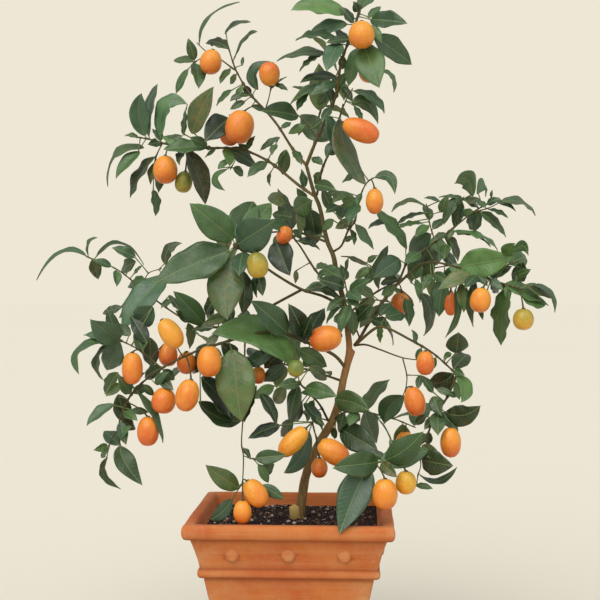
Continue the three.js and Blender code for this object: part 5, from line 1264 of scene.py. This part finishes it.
def make_trunk():
    """The trunk, its leader, the cut stub of the graft and the root crown, in one piece."""
    look = bpy.context.scene.kumquat_plant
    form = Form("young", "ruddy", "cut")
    for seed, entry in enumerate(TRUNK_LIMBS):
        twig = Twig(entry, seed)
        foot = [1 + 0.1 * math.exp(-max(0, s.z - FOOT_Z) / 7) * (seed == 0) for s in twig.spots]
        radii = [r * f for r, f in zip(grown(twig.points, twig.radii, seed), foot)]
        heights = [s.z for s in twig.spots]
        young = [max(0.05, 0.35 - (z - FOOT_Z) / 300) for z in heights]
        if seed > 0:
            young = [min(0.85, (z - TRUNK_TOP) / 60) for z in heights]
        ruddy = [math.exp(-((z - FORK_Z) / 28) ** 2) for z in heights]
        form.tube(twig.points, radii, 20, young=young, ruddy=ruddy)
    stub = Twig(GRAFT_STUB, 5)
    radii = grown(stub.points, stub.radii, 5)
    count = len(stub.points) - 1
    cut = [min(1, 0.25 + max(0, (i / count - 0.35) * 1.6)) for i in range(count + 1)]
    form.tube(stub.points, radii, 24, young=0.4, cut=cut)
    rng = random.Random(3)
    start = place(*ROOT_START)
    for i in range(ROOT_COUNT):
        turn = math.tau * i / ROOT_COUNT + rng.uniform(-0.4, 0.4)
        out = Vector((math.cos(turn), math.sin(turn), 0))
        route = [start, start + out * 7 * MM - UP * 6 * MM, start + out * 15 * MM - UP * 12 * MM]
        line = evenly(smooth_through(route), 2 * MM)
        radii = [(2.6 - 1.8 * j / (len(line) - 1)) * MM for j in range(len(line))]
        form.tube(line, radii, 10, young=0.1)
    form.piece("trunk_and_leader", bark_material(look), "bark", "trunk")


def stem_line(a, b, sag):
    """A short curved stem between two points."""
    middle = a.lerp(b, 0.5) + UP * sag
    return [quadratic(a, middle, b, i / 5) for i in range(6)]


def shoot_wood(shoot, look, material):
    """The twigs and fruit stalks of a shoot."""
    form = Form("young", "ruddy", "cut")
    roots = [leaf["root"] for leaf in shoot.leaves]
    for twig in shoot.twigs:
        seed = twig.index + len(shoot.name)
        thick = twig.radii[0] > 1.6 * MM
        radii = grown(twig.points, twig.radii, seed, roots)
        count = len(radii) - 1
        young = [min(1, (0.7 if thick else 0.85) + 0.5 * i / count) for i in range(count + 1)]
        ruddy = [(1 - i / count) ** 2 * 0.25 * thick for i in range(count + 1)]
        form.tube(twig.points, radii, 10, young=young, ruddy=ruddy)
    for a, b, c in shoot.stalks:
        line = [quadratic(a, b, c, i / 8) for i in range(9)]
        radii = [look.stem_radius * (1.05 + 0.6 * (i / 8) ** 4) for i in range(9)]
        form.tube(line, radii, 8, young=0.95)
    form.piece(shoot.name + "_wood", material, "bark", shoot.name)


def blade_width(t):
    """A kumquat leaf's half width along its length, as a share of its widest."""
    rise, fall = 0.76, 1.0
    widest = rise / (rise + fall)
    scale = widest**rise * (1 - widest) ** fall
    return max(t, 1e-4) ** rise * max(1 - t, 1e-4) ** fall / scale


def leaf_habit(leaf, rng):
    """How one leaf differs from the next: its shape's numbers, then its tones."""
    habit = {
        "width": leaf["width"] * MM * rng.uniform(1.0, 1.12),
        "fold": rng.uniform(0.16, 0.42),
        "camber": rng.uniform(0.0, 0.3),
        "twist": rng.uniform(-0.5, 0.5),
        "curl": rng.uniform(-0.02, 0.11),
        "wave": rng.uniform(0.02, 0.09),
        "waves": rng.uniform(1.5, 3.4),
        "phases": [rng.uniform(0, math.tau) for _ in range(2)],
    }
    tones = {
        "tint": leaf.get("tint", rng.betavariate(2.2, 2.6)),
        # Each leaf's share of the painted sky sheen, random unless its tone sets it.
        "cool": leaf.get("cool", max(0, rng.gauss(0.16, 0.26))),
        "aged": leaf.get("aged", max(0, rng.gauss(-0.15, 0.3))),
    }
    return habit, tones


def leaf_lift(habit, t, s, half):
    """How far a blade rises over its midrib at t along it and s across it."""
    off = abs(s) * half
    folded = habit["fold"] * (math.hypot(off, RIB_HALF) - RIB_HALF)
    ripple = habit["wave"] * habit["width"] * s**2
    ripple *= math.sin(math.tau * habit["waves"] * t + habit["phases"][s > 0])
    return folded - habit["camber"] * off**2 / half + ripple * math.sin(math.pi * t)


def leaf_sheets(form, leaf, start, look, rng):
    """The upper and under face of a blade, each as rows of point numbers."""
    habit, tones = leaf_habit(leaf, rng)
    tip, middle = leaf["tip"], leaf["middle"]
    long = (tip - start).length
    top_sheet, under_sheet = [], []
    for i in range(LEAF_ROWS + 1):
        t = 1.0
        if i < LEAF_ROWS:
            t = 0.5 - 0.5 * math.cos(math.pi * (0.04 + 0.96 * i / LEAF_ROWS))
        along = ((middle - start) * (1 - t) + (tip - middle) * t).normalized()
        face = leaf["normal"] - along * leaf["normal"].dot(along)
        face = Matrix.Rotation(habit["twist"] * t * t, 3, along) @ face.normalized()
        side = along.cross(face)
        centre = quadratic(start, middle, tip, t) - face * habit["curl"] * long * t**3
        half = max(habit["width"] / 2 * blade_width(t), TIP_HALF)
        top_row, under_row = [], []
        for j in range(-LEAF_HALF_COLUMNS, LEAF_HALF_COLUMNS + 1):
            s = j / LEAF_HALF_COLUMNS
            off = abs(s) * half
            groove = 0.22 * MM * math.exp(-((off / RIB_HALF) ** 2))
            top = centre + side * s * half + face * (leaf_lift(habit, t, s, half) - groove)
            top += face * wobble(top, 85) * min(0.9 * MM, half * 0.12)
            under = top - face * (look.leaf_thick * (1 - 0.45 * abs(s)) + groove * 2.2)
            values = dict(tones, vein=(t * long - off * 0.8) / VEIN_STEP, from_rib=off / MM)
            top_row.append(form.point(top, upper=1, **values))
            under_row.append(form.point(under, upper=0, **values))
        top_sheet.append(top_row)
        under_sheet.append(under_row)
    return top_sheet, under_sheet


def add_leaf(form, leaf, look, rng):
    """One leaf as a closed thin blade with fold, waves and twist, on its stem."""
    root, start, middle, tip = leaf["root"], leaf["base"], leaf["middle"], leaf["tip"]
    if (start - root).length < SEATED:
        start = quadratic(root, middle, tip, min(0.3, LEAF_STEM / (tip - root).length))
    top, under = leaf_sheets(form, leaf, start, look, rng)
    for i in range(LEAF_ROWS):
        for j in range(2 * LEAF_HALF_COLUMNS):
            form.faces.append((top[i][j], top[i][j + 1], top[i + 1][j + 1], top[i + 1][j]))
            form.faces.append((under[i][j], under[i + 1][j], under[i + 1][j + 1], under[i][j + 1]))
        for j in (0, -1):
            form.faces.append((top[i][j], top[i + 1][j], under[i + 1][j], under[i][j]))
    for i in (0, -1):
        for j in range(2 * LEAF_HALF_COLUMNS):
            form.faces.append((top[i][j], top[i][j + 1], under[i][j + 1], under[i][j]))
    line = stem_line(root, quadratic(start, middle, tip, 0.05), 0.4 * MM)
    last = len(line) - 1
    slim = (1.25 - 0.45 * math.sin(math.pi * i / last) for i in range(last + 1))
    radii = [look.stem_radius * share for share in slim]
    form.tube(line, radii, 8, tint=0.75, cool=0.0, aged=0.25, upper=0.35, from_rib=9.0)


def shoot_leaves(shoot, look, material):
    """All the leaves of a shoot, in one piece."""
    form = Form("tint", "cool", "aged", "upper", "vein", "from_rib")
    rng = random.Random(shoot.name)
    for leaf in shoot.leaves:
        add_leaf(form, leaf, look, rng)
    form.piece(shoot.name + "_leaves", material, "foliage", shoot.name)


def add_rind(form, fruit, turn, rng):
    """The uneven oval body with its dimples at the stalk and at the style scar."""
    blunt, lean = rng.uniform(0.82, 0.95), rng.uniform(0.02, 0.08)
    seed = rng.uniform(0, 40)
    rings = []
    for i in range(1, FRUIT_ROWS):
        angle = math.pi * i / FRUIT_ROWS
        dimple = 0.05 * math.exp(-((angle / 0.28) ** 2))
        dimple += 0.02 * math.exp(-(((math.pi - angle) / 0.2) ** 2))
        z = math.cos(angle) * (1 - dimple) * fruit.tall / 2
        reach = math.sin(angle) ** blunt * (1 - lean * math.cos(angle)) * fruit.width / 2
        height = 0.5 + 0.5 * math.cos(angle)
        ring = []
        for j in range(FRUIT_COLUMNS):
            spin = math.tau * j / FRUIT_COLUMNS
            spot = Vector((reach * math.cos(spin), reach * math.sin(spin), z))
            spot = fruit.centre + turn @ (spot * (1 + 0.018 * wobble(spot, 70, seed)))
            ring.append(form.point(spot, ripe=fruit.ripeness, height=height))
        rings.append(ring)
    form.ring_walls(rings)
    for ring, sign, sunk in ((rings[0], 1, 0.05), (rings[-1], -1, 0.02)):
        pole = fruit.centre + fruit.axis * sign * fruit.tall / 2 * (1 - sunk)
        form.cap(ring, form.point(pole, ripe=fruit.ripeness, height=0.5 + sign / 2))


def add_calyx(form, fruit, turn):
    """The small lobed calyx at the stalk and the dry style scar at the other end."""
    green = {"stalk": 1, "ripe": 0.1}
    top = fruit.centre + fruit.axis * fruit.tall / 2 * 0.95
    rings = []
    for reach, out in ((0.4, 1.5), (1.2, 1.0), (1.0, 0.35), (1.0, -0.3)):
        ring = []
        for j in range(CALYX_SIDES):
            spin = math.tau * j / CALYX_SIDES
            wide = reach * (1.75 + 0.5 * math.cos(CALYX_LOBES * spin) * (reach > 0.5))
            spot = Vector((wide * math.cos(spin), wide * math.sin(spin), out)) * MM
            ring.append(form.point(top + turn @ spot, **green))
        rings.append(ring)
    form.ring_walls(rings)
    form.cap(rings[0], form.point(top + fruit.axis * 1.7 * MM, **green))
    form.cap(rings[-1], form.point(top - fruit.axis * 0.8 * MM, **green))
    scar = fruit.centre - fruit.axis * fruit.tall / 2 * 0.975
    line = [scar + fruit.axis * 0.6 * MM, scar - fruit.axis * 0.3 * MM]
    form.tube(line, [0.7 * MM, 0.5 * MM], 8, stalk=1, ripe=0.4)


def fruit_piece(fruit, material, node):
    """A kumquat, which stands for a node of its own or is part of its shoot's node."""
    form = Form("ripe", "height", "stalk")
    turn = UP.rotation_difference(fruit.axis).to_matrix()
    add_rind(form, fruit, turn, random.Random(fruit.name))
    add_calyx(form, fruit, turn)
    slot = "ripe_rind" if fruit.ripeness >= RIPE_FROM else "unripe_rind"
    form.piece(fruit.name + "_fruit", material, slot, node)


# ---- stage ----


def make_floor(look):
    """A wide flat pale floor."""
    mesh = bpy.data.meshes.new("floor")
    points = [Vector((x, y, 0)) * FLOOR_REACH for x, y in SQUARE]
    mesh.from_pydata(points, [], [(0, 1, 2, 3)])
    mesh.materials.append(backdrop_material(look))
    floor = bpy.data.objects.new("floor", mesh)
    bpy.context.scene.collection.objects.link(floor)


def make_room(look):
    """Even white light from all round, and a plain pale wall behind everything."""
    world = bpy.data.worlds.new("soft_room")
    world.use_nodes = True
    nodes, links = world.node_tree.nodes, world.node_tree.links
    light = nodes["Background"]
    light.inputs["Color"].default_value = (1, 1, 1, 1)
    light.inputs["Strength"].default_value = look.ambient
    wall = nodes.new("ShaderNodeBackground")
    wall.inputs["Color"].default_value = (*look.wall, 1)
    seen = nodes.new("ShaderNodeLightPath")
    either = nodes.new("ShaderNodeMixShader")
    links.new(seen.outputs["Is Camera Ray"], either.inputs[0])
    links.new(light.outputs[0], either.inputs[1])
    links.new(wall.outputs[0], either.inputs[2])
    links.new(either.outputs[0], nodes["World Output"].inputs["Surface"])
    bpy.context.scene.world = world


def make_sun(name, strength, tint, direction):
    """A soft sun that shines from a direction."""
    light = bpy.data.lights.new(name, "SUN")
    light.energy, light.color, light.angle = strength, tint, math.radians(SUN_SPREAD)
    lamp = bpy.data.objects.new(name, light)
    lamp.rotation_mode = "QUATERNION"
    lamp.rotation_quaternion = (-Vector(direction)).to_track_quat("-Z", "Y")
    bpy.context.scene.collection.objects.link(lamp)


def make_stage():
    """The floor, the room, the suns and the camera in front of the tree."""
    look = bpy.context.scene.kumquat_stage
    scene = bpy.context.scene
    make_floor(look)
    make_room(look)
    make_sun("key", look.key, KEY_TINT, KEY_FROM)
    make_sun("fill", look.key * FILL_SHARE, FILL_TINT, FILL_FROM)
    camera = bpy.data.objects.new("camera", bpy.data.cameras.new("camera"))
    camera.data.lens, camera.data.sensor_width = look.lens, 36
    camera.data.clip_end = 3 * FLOOR_REACH
    camera.location = CAMERA_SPOT
    camera.rotation_euler = (math.radians(90 - CAMERA_DIP), 0, math.radians(CAMERA_TURN))
    scene.collection.objects.link(camera)
    scene.camera = camera
    scene.view_settings.view_transform = "Standard"
    scene.view_settings.look = "None"


# ---- operators, panel and run ----


class MakePlanter(bpy.types.Operator):
    """Make the square terracotta planter"""

    bl_idname = "kumquat.make_planter"
    bl_label = "Planter"

    def execute(self, context):
        make_planter()
        return {"FINISHED"}


class MakeSoil(bpy.types.Operator):
    """Make the soil and its grit"""

    bl_idname = "kumquat.make_soil"
    bl_label = "Soil"

    def execute(self, context):
        make_soil()
        make_grit()
        return {"FINISHED"}


class MakeTrunk(bpy.types.Operator):
    """Make the trunk, the leader and the graft stub"""

    bl_idname = "kumquat.make_trunk"
    bl_label = "Trunk"

    def execute(self, context):
        make_trunk()
        return {"FINISHED"}


class MakeShoots(bpy.types.Operator):
    """Make the twigs and leaves of every shoot"""

    bl_idname = "kumquat.make_shoots"
    bl_label = "Shoots"

    def execute(self, context):
        look = context.scene.kumquat_plant
        bark, leaf = bark_material(look), leaf_material(look)
        for shoot in plan_tree()[0]:
            shoot_wood(shoot, look, bark)
            shoot_leaves(shoot, look, leaf)
        return {"FINISHED"}


class MakeFruits(bpy.types.Operator):
    """Make the kumquats"""

    bl_idname = "kumquat.make_fruits"
    bl_label = "Fruits"

    def execute(self, context):
        rind = rind_material(context.scene.kumquat_plant)
        shoots, fruits = plan_tree()
        for fruit in fruits:
            fruit_piece(fruit, rind, fruit.name)
        for shoot in shoots:
            for fruit in shoot.shaded:
                fruit_piece(fruit, rind, shoot.name)
        return {"FINISHED"}


class MakeStage(bpy.types.Operator):
    """Make the floor, the lights and the camera"""

    bl_idname = "kumquat.make_stage"
    bl_label = "Stage"

    def execute(self, context):
        make_stage()
        return {"FINISHED"}


OPERATORS = (MakeStage, MakePlanter, MakeSoil, MakeTrunk, MakeShoots, MakeFruits)


class VIEW3D_PT_kumquat(bpy.types.Panel):
    """Settings and makers of the kumquat tree"""

    bl_label = "Potted Kumquat"
    bl_space_type = "VIEW_3D"
    bl_region_type = "UI"
    bl_category = "Kumquat"

    def draw(self, context):
        for operator in OPERATORS:
            self.layout.operator(operator.bl_idname)
        for group in (context.scene.kumquat_planter, context.scene.kumquat_plant,
                      context.scene.kumquat_stage):
            box = self.layout.box()
            for field in group.bl_rna.properties:
                if field.identifier not in {"rna_type", "name"}:
                    box.prop(group, field.identifier)


CLASSES = (PlanterSettings, PlantSettings, StageSettings, *OPERATORS, VIEW3D_PT_kumquat)


def register():
    """Adds the operators, the panel and the scene's settings."""
    for kind in CLASSES:
        bpy.utils.register_class(kind)
    scene = bpy.types.Scene
    scene.kumquat_planter = bpy.props.PointerProperty(type=PlanterSettings)
    scene.kumquat_plant = bpy.props.PointerProperty(type=PlantSettings)
    scene.kumquat_stage = bpy.props.PointerProperty(type=StageSettings)


def unregister():
    """Takes them away again."""
    del bpy.types.Scene.kumquat_stage
    del bpy.types.Scene.kumquat_plant
    del bpy.types.Scene.kumquat_planter
    for kind in reversed(CLASSES):
        bpy.utils.unregister_class(kind)


def main():
    """Makes the whole scene."""
    register()
    bpy.ops.kumquat.make_stage()
    bpy.ops.kumquat.make_planter()
    bpy.ops.kumquat.make_soil()
    bpy.ops.kumquat.make_trunk()
    bpy.ops.kumquat.make_shoots()
    bpy.ops.kumquat.make_fruits()


if __name__ == "__main__":
    main()
